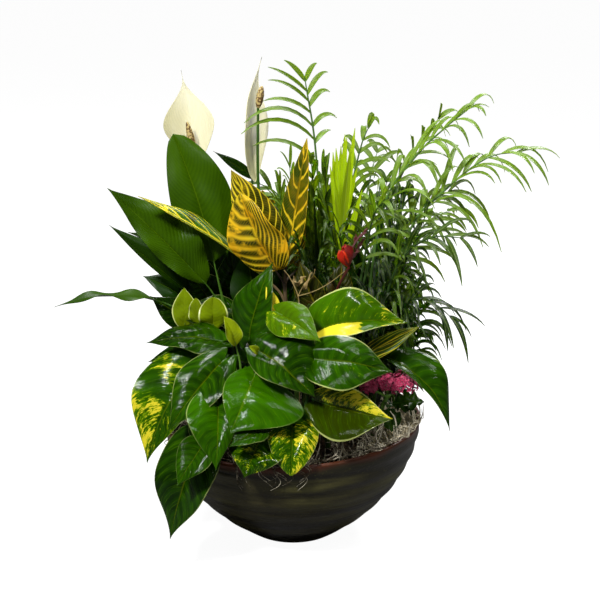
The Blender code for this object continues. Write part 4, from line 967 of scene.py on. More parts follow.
palm = {
    "thickness": 0.00028,
    "fold": 0.34,               # how steep the leaflet's two halves stand
    "more": 1.35,               # leaflets for each one of the solid
    "longer": 1.22,
    "last": 0.985,              # the share of the rachis where the last pair stands
    "stalk": 0.0016,
    "innerStalk": (0.0014, 0.0011, 0.0008, 0.0004),
    "end": 0.0004,
    "grid": (2, 8),
    # what chance gives each leaflet, from and to
    "lengths": (0.72, 1.12),
    "lean": (-0.34, 0.22),
    "stray": (-0.3, 0.35),
    "fall": (0.25, 0.75),
    "tint": (-0.12, 0.12),
    "widths": (0.82, 1.12),
    "innerWidths": (0.8, 1.15),
}


def frondOf(root, face, shade, width=5.6, reach=0, **more):
    # widths and reach of the leaflets in millimetres
    return {"root": root, "face": face, "shade": shade, "width": width / 1000,
            "reach": reach / 1000, **more}


# Fronds: the rachis as it is seen, then pairs of leaflets from a share of the way up, or the
# tips of the leaflets where each is seen: share, across, down, depth, bow
fronds = {
    "01": frondOf((0.022, 0.06), (0.0, -0.7, 0.7), 0.62, width=5.4, rachis=[(330, 300, 70),
        (320, 200, 78), (314, 135, 82), (307, 92, 84), (304.5, 76, 84)],
        tips=[(0.74, 253, 146, 15, 0.18), (0.81, 241, 134, 12, 0.22), (0.85, 244, 123, 12, 0.22),
        (0.89, 263, 101, 40, 0.14), (0.925, 268, 80, 60, 0.14), (0.955, 268, 67, 70, 0.1),
        (0.985, 284, 60, 84, 0.12), (0.985, 317, 63, 86, 0.24), (0.945, 328, 72, 90, 0.28),
        (0.91, 330, 92, 94, 0.36), (0.85, 337, 118, 98, 0.34), (0.8, 331, 130, 106, 0.16)]),
    "02": frondOf((0.054, 0.03), (0.6, -0.2, 0.8), 0.55, pairs=7, start=0.62, reach=38,
        rachis=[(362, 290, 36), (385, 215, 46), (404, 170, 54), (425, 138, 60), (441, 115, 64)]),
    "03": frondOf((0.062, 0.022), (-0.1, -0.3, 1.0), 0.65, pairs=8, start=0.55, reach=66,
        rachis=[(368, 300, 20), (384, 205, 20), (416, 156, 12), (445, 128, 4), (470, 108, -2)]),
    "04": frondOf((0.072, 0.034), (0.0, -0.35, 1.0), 0.7, pairs=8, start=0.57, reach=66,
        rachis=[(384, 320, 22), (410, 230, 12), (444, 191, 10), (487, 158, 6), (522, 152, 2)]),
    "05": frondOf((0.034, 0.066), (-0.1, -0.6, 0.8), 0.55, pairs=6, start=0.66, reach=44,
        rachis=[(336, 300, 78), (345, 220, 82), (360, 150, 85), (370, 124, 85)]),
    "06": frondOf((0.046, 0.05), (0.0, -1.0, 0.2), 0.75, warm=0.8, width=6.8,
        rachis=[(342, 300, 46), (338, 250, 42), (339, 222, 40)], tips=[(0.9, 333, 152, 36, 0.02),
        (0.96, 341, 146, 30, 0.01), (0.99, 347, 136, 36, -0.01), (0.94, 357, 168, 28, -0.03),
        (0.88, 326, 178, 30, 0.05)]),
    "07": frondOf((0.014, 0.048), (0.0, -0.5, 0.9), 0.5, pairs=6, start=0.62, reach=46,
        rachis=[(312, 310, 56), (300, 235, 60), (278, 195, 64), (256, 182, 66)]),
    "08": frondOf((0.07, 0.012), (0.0, -0.5, 0.9), 0.3, width=4.6, pairs=6, start=0.58, reach=50,
        rachis=[(380, 320, -2), (400, 262, -16), (430, 238, -46), (464, 238, -66)]),
    "09": frondOf((0.08, 0.022), (0.2, -0.3, 1.0), 0.15, pairs=6, start=0.54, reach=50,
        rachis=[(388, 345, 6), (410, 302, -10), (434, 304, -22), (452, 318, -30)]),
    "10": frondOf((0.04, 0.04), (0.0, -0.9, 0.4), 0.85, warm=0.72, width=7.6,
        rachis=[(346, 310, 18), (342, 252, 8), (342, 226, 4)], tips=[(0.9, 336, 148, 0, 0.02),
        (0.95, 345, 134, -4, 0.0), (0.99, 355, 128, -10, -0.02), (0.97, 350, 150, -8, 0.01),
        (0.86, 330, 166, -2, 0.05), (0.84, 362, 190, -14, -0.02)]),
    "11": frondOf((0.048, 0.036), (0.0, -0.8, 0.6), 0.4, width=4.6, pairs=6, start=0.68, reach=50,
        rachis=[(356, 310, 0), (366, 250, -20), (374, 215, -42), (384, 200, -64)]),
    "12": frondOf((0.064, 0.044), (0.0, -0.5, 0.9), 0.4, width=5, pairs=7, start=0.5, reach=56,
        rachis=[(372, 310, 40), (396, 240, 40), (425, 205, 40), (452, 190, 40)]),
    "13": frondOf((0.052, 0.064), (0.0, -0.7, 0.7), 0.45, pairs=6, start=0.58, reach=56,
        rachis=[(352, 300, 100), (362, 220, 130), (372, 170, 160), (378, 150, 185)]),
    "14": frondOf((0.066, 0.058), (-0.3, -0.6, 0.75), 0.45, pairs=6, start=0.54, reach=56,
        rachis=[(376, 310, 90), (405, 250, 120), (430, 220, 150), (450, 210, 175)]),
    "15": frondOf((0.03, 0.08), (0.1, -0.7, 0.7), 0.45, pairs=6, start=0.54, reach=54,
        rachis=[(332, 310, 110), (325, 240, 140), (318, 205, 175), (312, 195, 205)]),
    "16": frondOf((0.016, 0.036), (-0.1, -0.9, 0.4), 0.35, pairs=7, start=0.55, reach=44,
        rachis=[(314, 310, 34), (316, 250, 30), (314, 195, 28), (311, 160, 28)]),
}


def leafletCurves(frond, path):
    # the middle curve of every leaflet
    face = Vector(frond["face"]).normalized()
    if "tips" in frond:
        for share, across, down, depth, bow in frond["tips"]:
            spot, _ = alongPath(path, share)
            reach = seen(across, down, depth) - spot
            lift = up * bow * reach.length
            yield spot, spot + reach * 0.3 + lift, spot + reach * 0.7 + lift, spot + reach
        return
    count = round(frond["pairs"] * palm["more"])
    for pair in range(count):
        rise = pair / (count - 1)
        share = frond["start"] + (palm["last"] - frond["start"]) * rise
        spot, slope = alongPath(path, share)
        side = slope.cross(face).normalized()
        size = frond["reach"] * (1.0 - 0.40 * rise**2) * (0.80 + 0.20 * min(pair, 1))
        angle = frond.get("spread", 0.92) * (1.0 - 0.45 * rise)
        for hand in (-1, 1):
            reach = size * palm["longer"] * rng.uniform(*palm["lengths"])
            lean = angle + rng.uniform(*palm["lean"])
            outward = slope * math.cos(lean) + side * hand * math.sin(lean)
            outward = (outward + face * rng.uniform(*palm["stray"])).normalized()
            droop = up * reach * rng.uniform(*palm["fall"]) * frond.get("droop", 1.0)
            yield (spot, spot + outward * reach * 0.36 + up * reach * 0.05,
                   spot + outward * reach * 0.74 - droop * 0.16,
                   spot + outward * reach * 0.94 - droop)


def addLeaflet(shape, curve, face, width, traits):
    def place(u, t):
        middle, slope = bezier(curve, t), bezierSlope(curve, t)
        across = slope.cross(face).normalized()
        out = across.cross(slope)
        swell = math.sin(math.pi * (0.04 + 0.96 * t) ** 0.72) if t < 1.0 else 0.0
        half = max(width / 2 * swell**0.8, leafGrid["least"])
        return middle + across * u * half + out * abs(u) * half * palm["fold"]

    addSheet(shape, *palm["grid"], place, traits, palm["thickness"])


def makeFrond(key, frond):
    shape = newShape()
    stalk = palm["stalk"]
    path = rootedStem(shape, frond["root"], allSeen(frond["rachis"]), 5,
                      [stalk, stalk * 0.8, stalk * 0.6, palm["end"]], 6, shade=frond["shade"])
    face = Vector(frond["face"]).normalized()
    for curve in leafletCurves(frond, path):
        traits = {"shade": frond["shade"] + rng.uniform(*palm["tint"]),
                  "warm": frond.get("warm", 0.0), "seed": rng.random()}
        width = frond["width"] * rng.uniform(*palm["widths"])
        addLeaflet(shape, curve, face, width, traits)
    makePiece("palmFrond" + key, shape, [palmLeaf, palmStalk], ["palm_frond_" + key])


for key, frond in fronds.items():
    makeFrond(key, frond)
print("palm fronds made:", len(fronds))


# Inner fronds that thicken the palm: how many, the middle of their roots, how far they stand
# from it, how high, how far they lean out, how wide the leaflets spread, and their painted light
# and shade
thickets = {
    "palmUpright": dict(count=20, root=(0.022, 0.050), around=0.026, heights=(0.275, 0.365),
                        lean=(0.004, 0.024), spread=0.50, reach=(0.044, 0.060), width=0.0040,
                        shades=(0.20, 0.85), start=0.58, droop=0.5),
    "palmMiddle": dict(count=32, root=(0.064, 0.036), around=0.036, heights=(0.235, 0.345),
                       lean=(0.015, 0.045), spread=0.8, reach=(0.040, 0.058), width=0.0043,
                       shades=(0.0, 0.34), start=0.52, droop=1.1),
    "palmLow": dict(count=24, root=(0.076, 0.020), around=0.036, heights=(0.170, 0.260),
                    lean=(0.010, 0.040), spread=1.0, reach=(0.036, 0.048), width=0.0042,
                    shades=(0.0, 0.2), start=0.48, droop=1.2),
}


def makeThicket(name, thicket):
    shape = newShape()
    for order in range(thicket["count"]):
        angle = order * 2.4 + rng.uniform(-0.3, 0.3)
        away = polar(1.0, angle)
        reach = thicket["around"] * math.sqrt(rng.random())
        x, y = thicket["root"][0] + away.x * reach, thicket["root"][1] + away.y * reach
        height = rng.uniform(*thicket["heights"])
        lean = rng.uniform(*thicket["lean"])
        middle = Vector((x, y, height * 0.72)) + away * lean * 0.25
        end = Vector((x, y, height)) + away * lean
        shade = rng.uniform(*thicket["shades"])
        path = rootedStem(shape, (x * 0.86, y * 0.86), [middle, end], 6, palm["innerStalk"], 5,
                          shade=shade)
        frond = {"face": (away.x * -0.3, away.y * -0.3 - 0.4, 0.85), "pairs": 6,
                 "start": thicket["start"], "reach": rng.uniform(*thicket["reach"]),
                 "spread": thicket["spread"], "droop": thicket["droop"]}
        face = Vector(frond["face"]).normalized()
        for curve in leafletCurves(frond, path):
            traits = {"shade": shade + rng.uniform(*palm["tint"]), "seed": rng.random()}
            width = thicket["width"] * rng.uniform(*palm["innerWidths"])
            addLeaflet(shape, curve, face, width, traits)
    makePiece(name, shape, [palmLeaf, palmStalk], [])


for name, thicket in thickets.items():
    makeThicket(name, thicket)
print("palm thickets made:", len(thickets))


# Peace lily blooms

bloomLook = {"cream": rgb(236, 228, 166), "vein": rgb(206, 204, 140), "tip": rgb(92, 92, 60),
             "knob": rgb(206, 182, 116), "pit": rgb(104, 74, 36),
             "stalk": (0.0024, 0.0020, 0.0015, 0.0013)}


def makeSpatheMaterial(look):
    material, tree, shader = newMaterial("spathe", Subsurface_Weight=0.4, Subsurface_Scale=0.02,
                                         Subsurface_Radius=(1.0, 0.95, 0.75),
                                         Specular_IOR_Level=0.35)
    ribs = placeGroup(tree, leafRibs, Count=14.0, Slant=9.0, RibWidth=0.10, MidribWidth=0.05,
                      Wander=0.6)
    lines = most(tree, times(tree, ribs["Rib"], 0.16), times(tree, ribs["Midrib"], 0.3))
    colour = mixColours(tree, lines, look["cream"], look["vein"])
    ageing = remap(tree, ribs["Along"], 0.955, 0.985)
    colour = mixColours(tree, ageing, colour, look["tip"])
    height = times(tree, ribs["Quilt"], 0.6)
    rough = timesPlus(tree, objectNoise(tree, 120.0), 0.15, 0.42)
    connect(tree, shader, colour, rough, height, strength=0.3, distance=0.0006)
    return material


def makeSpadixMaterial(look):
    material, tree, shader = newMaterial("spadix")
    coords = addNode(tree, "TexCoord").outputs["Object"]
    cells = addNode(tree, "TexVoronoi", {"Vector": coords, "Scale": 430.0}).outputs["Distance"]
    colour = mixColours(tree, remap(tree, cells, 0.42, 0.66), look["knob"], look["pit"])
    rough = timesPlus(tree, cells, 0.3, 0.55)
    height = times(tree, cells, -1.0)
    connect(tree, shader, colour, rough, height, strength=0.6, distance=0.0008)
    return material


spathes = {
    "1": dict(root=(-0.058, 0.044), stalk=[(219, 290, 46), (201, 200, 52)], top=(196, 160, 52),
              spadix=(187, 122, 46),
              bract=blade((196, 162, 54.5), (181, 70, 56), (-0.05, -1.0, 0.15), 50,
                          arch=(-0.10, -0.06), sharp=3.4, seed=0.3)),
    "2": dict(root=(-0.036, 0.048), stalk=[(262, 260, 45), (258, 178, 40)], top=(258, 108, 38),
              spadix=(262, 86, 37),
              bract=blade((255.2, 182, 40.5), (262, 57, 46), (0.70, -0.60, 0.10), 34,
                          arch=(-0.14, -0.10), sharp=2.6, seed=0.7)),
}
spadix = {"radius": 0.0036, "sides": 14, "rings": 26, "knob": 0.10}


def makeSpadix(key, bloom):
    # a spike of small knobs, set in spirals
    start, end = seen(*bloom["top"]), seen(*bloom["spadix"])
    axis = (end - start).normalized()
    side = axis.orthogonal().normalized()
    other = axis.cross(side)
    shape = newShape()
    bmesh.ops.create_uvsphere(shape, u_segments=spadix["sides"] * 2, v_segments=spadix["rings"],
                              radius=1.0)
    for vert in shape.verts:
        angle = math.atan2(vert.co.y, vert.co.x)
        height = (vert.co.z + 1.0) / 2.0
        away = math.hypot(vert.co.x, vert.co.y)
        body = math.sin(math.pi * (0.10 + 0.86 * height)) ** 0.45 * away**0.35
        knobs = math.sin(spadix["sides"] * angle / 2 + height * 40)
        knobs *= math.sin(height * 40 - angle * 3)
        radius = spadix["radius"] * body * (1 + spadix["knob"] * knobs) if away >= 0.001 else 0.0
        vert.co = start + (end - start) * height + turned(side, other, angle) * radius
    makePiece("spadix" + key, shape, [spadixSkin], ["spadix_" + key], sharp=180)


def makeBloom(key, bloom):
    shape = newShape()
    rootedStem(shape, bloom["root"], allSeen([*bloom["stalk"], bloom["top"]]), 6,
               bloomLook["stalk"], 10, 0, 0.3)
    makePiece("lilyStalk" + key, shape, [greenStalk], ["peace_lily_stalk_" + key])
    shape = newShape()
    bloom["bract"].update(outline="spathe", cup=0.9, fold=8, wave=0.03, crown=0.0, grid=(20, 30))
    addLeaf(shape, bloom["bract"])
    makePiece("spathe" + key, shape, [spatheSkin], ["spathe_" + key])
    makeSpadix(key, bloom)


spatheSkin = makeSpatheMaterial(bloomLook)
spadixSkin = makeSpadixMaterial(bloomLook)
for key, bloom in spathes.items():
    makeBloom(key, bloom)
print("peace lily blooms made:", len(spathes))


# Kalanchoe

kalanchoe = {
    "root": (0.078, -0.036),
    "stem": [(382, 408, -52), (388, 396, -56)],
    # where, how wide, how many florets, how lit, as painted light and shade
    "heads": {1: ((403, 385, -46), 0.0150, 56, 1.0), 2: ((387, 384, -48), 0.0124, 42, 0.7),
              3: ((370, 388, -60), 0.0100, 32, 0.2)},
    "leaves": [
        blade((392, 404, -58), (424, 402, -62), (0.2, -0.5, 0.85), 24, 0.9, shade=0.2),
        blade((388, 408, -66), (392, 432, -90), (0.1, -0.7, 0.7), 22, 0.8, shade=0.15),
        blade((396, 406, -46), (414, 412, -20), (0.3, -0.3, 0.9), 22, 0.7, shade=0.2),
    ],
    "stalk": (0.0026, 0.0022),
    "leafStalk": 0.0014,
    "headStalk": (0.0012, 0.0010),
    "tube": (0.0007, 0.0009),
    "petal": 0.0034,
    "thickness": 0.0002,
    "dark": rgb(112, 6, 44),
    "pink": rgb(206, 34, 92),
    "pale": rgb(240, 140, 172),
}


def makePetalMaterial(name, dark, bright, pale):
    material, tree, shader = newMaterial(name, Specular_IOR_Level=0.35)
    ribs = placeGroup(tree, leafRibs, Count=6.0, Slant=4.0, MidribWidth=0.3)
    cloud = objectNoise(tree, 180.0)
    # painted light and shade, partly random tone: the shade trait sets dark to bright and the pale
    # edges
    shade = clouded(tree, "shade", cloud, 0.6)
    colour = mixColours(tree, remap(tree, shade, 0.0, 1.0), dark, bright)
    rim = times(tree, remap(tree, ribs["Across"], 0.4, 1.0), trait(tree, "shade"))
    colour = tinted(tree, colour, rim, 0.6, pale)
    rough = timesPlus(tree, cloud, 0.2, 0.42)
    connect(tree, shader, colour, rough, ribs["Quilt"], strength=0.3, distance=0.0004)
    return material


def addFloret(shape, centre, way, size, shade):
    # four cupped petals round a small tube
    side = way.orthogonal().normalized()
    other = way.cross(side)
    turn = rng.uniform(0.0, math.pi / 2)
    for petal in range(4):
        angle = turn + petal * math.pi / 2 + rng.uniform(-0.12, 0.12)
        out = turned(side, other, angle)
        across = way.cross(out)

        def place(u, t, out=out, across=across):
            half = size * 0.42 * max(math.sin(math.pi * (0.10 + 0.86 * t) ** 1.1), 0.05)
            lift = size * (0.30 * t - 0.28 * t * t + 0.16 * u * u * t)
            return centre + out * size * (0.12 + 0.88 * t) + across * u * half + way * lift

        addSheet(shape, 2, 3, place, {"shade": shade, "seed": rng.random()},
                 kalanchoe["thickness"])


def makeKalanchoe():
    shape = newShape()
    path = rootedStem(shape, kalanchoe["root"], allSeen(kalanchoe["stem"]), 4,
                      kalanchoe["stalk"])
    for number, leaf in enumerate(kalanchoe["leaves"]):
        leaf.update(outline="oval", seed=number * 0.3, wave=0.35, waves=4.0)
        addPetiole(shape, *alongPath(path, leaf["start"]), leaf, kalanchoe["leafStalk"])
        addLeaf(shape, leaf)
    start, _ = alongPath(path, 0.97)
    for spot, size, _, _ in kalanchoe["heads"].values():
        centre = seen(*spot)
        addStem(shape, [start, (start + centre) / 2, centre], kalanchoe["headStalk"], 6)
    makePiece("kalanchoeStem", shape, [lilyLeaf, greenStalk], ["kalanchoe_stem"])
    for number, (spot, size, count, light) in kalanchoe["heads"].items():
        shape = newShape()
        centre = seen(*spot)
        for i in range(count):
            height = 1.0 - 1.25 * (i + 0.5) / count
            ring = math.sqrt(max(1.0 - height * height, 0.0))
            angle = i * math.pi * (3.0 - math.sqrt(5.0))
            way = polar(ring, angle, height)
            base = centre + way * size * rng.uniform(0.55, 0.95)
            addStem(shape, [centre + way * size * 0.35, base + way * 0.0004], kalanchoe["tube"],
                    5, 0, 0.2)
            addFloret(shape, base, way, kalanchoe["petal"] * rng.uniform(0.85, 1.1),
                      light * rng.uniform(0.5, 1.1))
        makePiece(f"kalanchoeHead{number}", shape, [petalPink], [f"kalanchoe_head_{number}"])


petalPink = makePetalMaterial("petalPink", kalanchoe["dark"], kalanchoe["pink"], kalanchoe["pale"])
makeKalanchoe()
print("kalanchoe made")


# Red bloom

redBloom = {
    "root": (0.020, -0.004),
    "stem": [(326, 330, -26), (337, 290, -48)],
    "centre": (348, 266, -60),
    "axis": (-0.30, -0.30, 0.90),
    "depth": 0.002,
    "petals": 9,
    "length": 0.026,
    "thickness": 0.0003,
    "middle": 0.0016,
    "stalk": (0.0017, 0.0014, 0.0012),
    "twig": (0.0014, 0.0011, 0.0006),
    "bud": (0.0008, 0.0013, 0.0003),
    "twigs": [[(345, 262, -56), (352, 248, -54), (360, 236, -52), (366, 231, -50)],
              [(345, 262, -56), (356, 252, -50), (362, 240, -46)]],
    "buds": 9,                  # on each twig
    "dark": rgb(96, 4, 4),
    "red": rgb(206, 34, 8),
    "pale": rgb(226, 72, 30),
}


def makeRedBloom():
    axis = Vector(redBloom["axis"]).normalized()
    centre = seen(*redBloom["centre"])
    seat = centre - axis * redBloom["depth"]
    shape = newShape()
    rootedStem(shape, redBloom["root"], [*allSeen(redBloom["stem"]), seat], 5,
               redBloom["stalk"], 8, 0)
    for twig in redBloom["twigs"]:
        path = smoothPath(allSeen(twig), 4)
        addStem(shape, path, redBloom["twig"], 6, 0)
        for bud in range(redBloom["buds"]):
            spot, slope = alongPath(path, 0.2 + 0.09 * bud)
            stray = Vector((rng.uniform(-1, 1), rng.uniform(-1, 1), rng.uniform(-0.4, 1)))
            way = (slope + stray).normalized()
            addStem(shape, [spot, spot + way * 0.003, spot + way * 0.006], redBloom["bud"], 5, 0)
    makePiece("redBloomStem", shape, [redStem], ["red_bloom_stem"])
    shape = newShape()
    side = axis.orthogonal().normalized()
    other = axis.cross(side)
    for petal in range(redBloom["petals"]):
        angle = petal * 2.4 + 0.3
        out = turned(side, other, angle)
        across = axis.cross(out)
        rise = 0.22 + 0.26 * rng.random()
        length = redBloom["length"] * (0.50 + 0.45 * rng.random())

        def place(u, t, out=out, across=across, rise=rise, length=length, petal=petal):
            half = length * 0.27 * max(math.sin(math.pi * (0.08 + 0.84 * t) ** 1.6), 0.06)
            ruffle = 0.07 * math.sin(u * 5.0 + petal) * t * length
            bulge = length * (rise * math.sin(math.pi * 0.7 * t) - 0.10 * u * u * t)
            return seat + out * (bulge + ruffle) + across * u * half + axis * length * t

        traits = {"shade": rng.uniform(0.0, 1.0), "seed": rng.random()}
        addSheet(shape, 8, 10, place, traits, redBloom["thickness"])
    bmesh.ops.create_icosphere(shape, subdivisions=2, radius=redBloom["middle"])
    for vert in shape.verts[-42:]:
        vert.co = seat + vert.co
    makePiece("redBloom", shape, [petalRed], ["red_bloom"])


petalRed = makePetalMaterial("petalRed", redBloom["dark"], redBloom["red"], redBloom["pale"])
redStem = makeStalkMaterial("redStem", rgb(30, 10, 8), rgb(104, 30, 24), 0.6)
makeRedBloom()
print("red bloom made")


# Dry twigs and a curled dead leaf in the dark middle
dryTwigs = {
    "root": (0.006, -0.022),
    "paths": [[(300, 320, -30), (298, 296, -34), (290, 278, -30), (284, 270, -28)],
              [(298, 296, -34), (312, 292, -38), (328, 284, -44), (345, 271, -52)],
              [(298, 296, -34), (304, 285, -36), (313, 276, -40), (315, 269, -42)]],
    "curls": [((297, 286, -36), (294, 276, -42)), ((303, 290, -36), (312, 272, -44)),
              ((299, 283, -36), (306, 276, -40))],
    "stalk": (0.0009, 0.0007),
    "twig": (0.0005, 0.0004, 0.0003),
    "dark": rgb(84, 62, 32),
    "lit": rgb(190, 166, 104),
}


def makeDryTwigs():
    shape = newShape()
    foot = footOf(dryTwigs["root"])
    first = seen(*dryTwigs["paths"][0][0])
    addStem(shape, [*foot, (foot[1] + first) / 2, first], dryTwigs["stalk"], 6, 0)
    for spots in dryTwigs["paths"]:
        addStem(shape, smoothPath(allSeen(spots), 5), dryTwigs["twig"], 6, 0, 0.6)
    for order, (base, tip) in enumerate(dryTwigs["curls"]):
        addLeaf(shape, blade(base, tip, (0.4, -0.8, 0.4), 7, outline="oval", fold=40, twist=160,
                             wave=0.5, arch=(0.3, -0.1), seed=order * 0.3, grid=(6, 14)))
    makePiece("dryTwigs", shape, [dryStem], [])


dryStem = makeStalkMaterial("dryStem", dryTwigs["dark"], dryTwigs["lit"], 0.8)
makeDryTwigs()
print("dry twigs made")


# Bowl

bowlLook = {
    "glaze": rgb(58, 54, 30),
    "deep": rgb(24, 21, 11),
    "olive": rgb(88, 86, 42),
    "rust": rgb(84, 41, 20),
    "inside": rgb(44, 34, 28),
}


def bowlRadius(height):
    rise = min(max(height / bowl["height"], 0.0), 1.0)
    rounded = 1.0 - (1.0 - rise) ** 2.4
    width = bowl["rimRadius"] - bowl["footRadius"]
    return bowl["footRadius"] + width * (0.80 * rounded + 0.20 * rise)


def bowlProfile():
    # from the floor's middle inside, over the rim and down to the foot, as radius and height
    inside = []
    deep = bowl["height"] - bowl["wall"] / 2 - bowl["floor"]
    for step in range(15):
        height = bowl["floor"] + deep * (step / 14) ** 1.2
        inside.append((bowlRadius(height) - bowl["wall"], height))
    lip = []
    for step in range(1, 8):
        angle = math.pi * step / 8
        lip.append((bowl["rimRadius"] - bowl["wall"] / 2 * (1 + math.cos(angle)),
                    bowl["height"] - bowl["wall"] / 2 * (1 - math.sin(angle))))
    outside = []
    for step in range(bowl["rows"] + 1):
        height = (bowl["height"] - bowl["wall"] / 2) * (1 - step / bowl["rows"])
        outside.append((bowlRadius(height), height))
    foot = [(bowl["footRadius"] - 0.004, 0.0), (bowl["footRadius"] - 0.007, 0.0012)]
    return [(0.0, bowl["floor"]), *inside, *lip, *outside, *foot, (0.0, 0.0012)]


def spunShape(profile, sides):
    shape = newShape()
    verts = [shape.verts.new((radius, 0.0, height)) for radius, height in profile]
    edges = [shape.edges.new(pair) for pair in zip(verts, verts[1:])]
    bmesh.ops.spin(shape, geom=[*verts, *edges], cent=(0.0, 0.0, 0.0), axis=(0.0, 0.0, 1.0),
                   angle=2 * math.pi, steps=sides, use_merge=True)
    bmesh.ops.remove_doubles(shape, verts=shape.verts, dist=0.00002)
    return shape


def makeBowlMaterial(look):
    material, tree, shader = newMaterial("bowlGlaze", Specular_IOR_Level=0.3)
    bands = objectNoise(tree, 12.0, detail=4.0, roughness=0.55, stretch=(0.55, 0.55, 6.0))
    speck = objectNoise(tree, 420.0, detail=2.0)
    clouds = objectNoise(tree, 9.0, detail=4.0)
    colour = mixColours(tree, remap(tree, bands, 0.35, 0.65), look["deep"], look["glaze"])
    bronze = times(tree, remap(tree, clouds, 0.42, 0.70), remap(tree, bands, 0.45, 0.68))
    colour = tinted(tree, colour, bronze, 0.75, look["olive"])
    colour = mixColours(tree, remap(tree, speck, 0.62, 0.74, 0.0, 0.45), colour, look["olive"])
    colour = mixColours(tree, trait(tree, "warm"), colour, look["rust"])
    colour = mixColours(tree, trait(tree, "under"), colour, look["inside"])
    rough = timesPlus(tree, bands, 0.25, 0.34)
    height = timesPlus(tree, speck, 0.08, times(tree, bands, 1.6))
    connect(tree, shader, colour, rough, height, strength=0.6, distance=0.0030)
    return material


def makeBowl():
    shape = spunShape(bowlProfile(), bowl["sides"])
    warm, under = shape.verts.layers.float["warm"], shape.verts.layers.float["under"]
    for vert in shape.verts:
        x, y, z = vert.co
        radius = math.hypot(x, y)
        angle = math.atan2(y, x)
        share = z / bowl["height"]
        outside = radius > bowlRadius(z) - bowl["wall"] / 2
        if outside and z > 0.004:
            wander = 0.5 * math.sin(angle * 2 + 0.6) + 0.35 * math.sin(angle * 3 + 2.0)
            swell = 0.75 + 0.5 * bumps(x * 9, y * 9, 11.0)
            ridge = math.sin(2 * math.pi * bowl["ridges"] * share + wander)
            push = bowl["ridgeHeight"] * swell * ridge
            push += 0.0006 * bumps(x * 12, y * 12, z * 50)
            fade = min(share * 6, 1.0) * min((1.0 - share) * 10, 1.0)
            vert.co.x *= 1 + push * fade / radius
            vert.co.y *= 1 + push * fade / radius
        rust = bowl["rustFrom"] - 0.006 * bumps(x * 20, y * 20, 3.0)
        vert[warm] = smoothstep(rust, rust + 0.008, z) if outside else smoothstep(0.110, 0.113, z)
        vert[under] = 0.0 if outside or z > 0.111 else 1.0
        vert.co.z += bowl["slant"] * share * x / bowl["rimRadius"]
    makePiece("bowlBody", shape, [bowlGlaze], ["bowl"], sharp=70)


# Soil: a rough disc with a skirt down the inside of the bowl
def makeSoilMaterial():
    material, tree, shader = newMaterial("soilEarth", Specular_IOR_Level=0.2)
    crumb = objectNoise(tree, 240.0, detail=6.0, roughness=0.7)
    colour = mixColours(tree, remap(tree, crumb, 0.4, 0.65), rgb(18, 12, 8), rgb(74, 54, 36))
    rough = timesPlus(tree, crumb, 0.2, 0.78)
    connect(tree, shader, colour, rough, crumb, strength=0.9, distance=0.003)
    return material


def makeSoil():
    edge = bowlRadius(soil["edge"]) - bowl["wall"] - 0.0009
    rings = [(edge * step / 26, 1.0) for step in range(1, 27)]
    depth = [(bowlRadius(height) - bowl["wall"] - 0.0012, height) for height in (0.07, 0.04, 0.012)]
    shape = spunShape([(0.0, 1.0), *rings, *depth, (0.0, 0.0102)], 120)
    for vert in shape.verts:
        x, y, z = vert.co
        if z > 0.9:
            rough = bumps(x * 70, y * 70, 0.0) + 0.5 * bumps(x * 190, y * 190, 5.0)
            fade = 1.0 - smoothstep(edge * 0.96, edge, math.hypot(x, y))
            vert.co.z = soilHeight(x, y) + soil["crumbs"] * rough * fade - 0.0006
        else:
            vert.co.z += bowl["slant"] * z / bowl["height"] * x / bowl["rimRadius"]
    makePiece("soilBody", shape, [soilEarth], ["soil"], sharp=60)


bowlGlaze = makeBowlMaterial(bowlLook)
soilEarth = makeSoilMaterial()
makeBowl()
makeSoil()
print("bowl and soil made")


# Moss: curled strands in a loose ring and in loose heaps, a few of them over the rim
moss = {
    "strands": 440,
    "points": 15,
    "step": 0.0036,
    "radius": 0.00056,
    "inner": 0.088,
    "outer": 0.119,
    "clear": 0.0012,            # from the wall and past the rim
    "over": 0.022,              # how far a strand runs across the rim before it drops
    "dark": rgb(64, 52, 34),
    "tan": rgb(246, 236, 208),
    # loose heaps: where, how wide and high, how many strands
    "heaps": [((0.096, -0.050), 0.022, 0.022, 130), ((0.106, -0.022), 0.014, 0.022, 60),
              ((0.066, -0.082), 0.024, 0.008, 26), ((0.030, -0.106), 0.020, 0.007, 20),
              ((-0.010, -0.114), 0.020, 0.006, 24)],
    "hanging": [(-1.90, 0.020), (-1.87, 0.028), (-1.83, 0.014), (-1.77, 0.010), (-1.69, 0.014),
                (-1.65, 0.024), (-1.62, 0.018), (-1.56, 0.012),
                (0.4, 0.012), (1.3, 0.016), (2.2, 0.012), (2.9, 0.016), (3.6, 0.010)],
}


def makeMossMaterial():
    material, tree, shader = newMaterial("mossStrand", Specular_IOR_Level=0.2)
    cloud = objectNoise(tree, 70.0, detail=3.0)
    fine = objectNoise(tree, 600.0, detail=2.0)
    coords = addNode(tree, "TexCoord").outputs["Object"]
    # the strands grow paler towards +x, painted light over their own tan
    place = addNode(tree, "SeparateXYZ", {0: coords}).outputs["X"]
    mixed = timesPlus(tree, fine, 0.3, cloud)
    mixed = plus(tree, mixed, remap(tree, place, 0.06, 0.10, -0.05, 0.22))
    colour = mixColours(tree, remap(tree, mixed, 0.48, 0.84), moss["dark"], moss["tan"])
    rough = timesPlus(tree, fine, 0.2, 0.7)
    connect(tree, shader, colour, rough, fine, strength=0.4, distance=0.0004)
    return material


def levelAt(height, side):
    # the level on the upright profile of a height on the slanting bowl
    return height / (1 + bowl["slant"] / bowl["height"] * side)


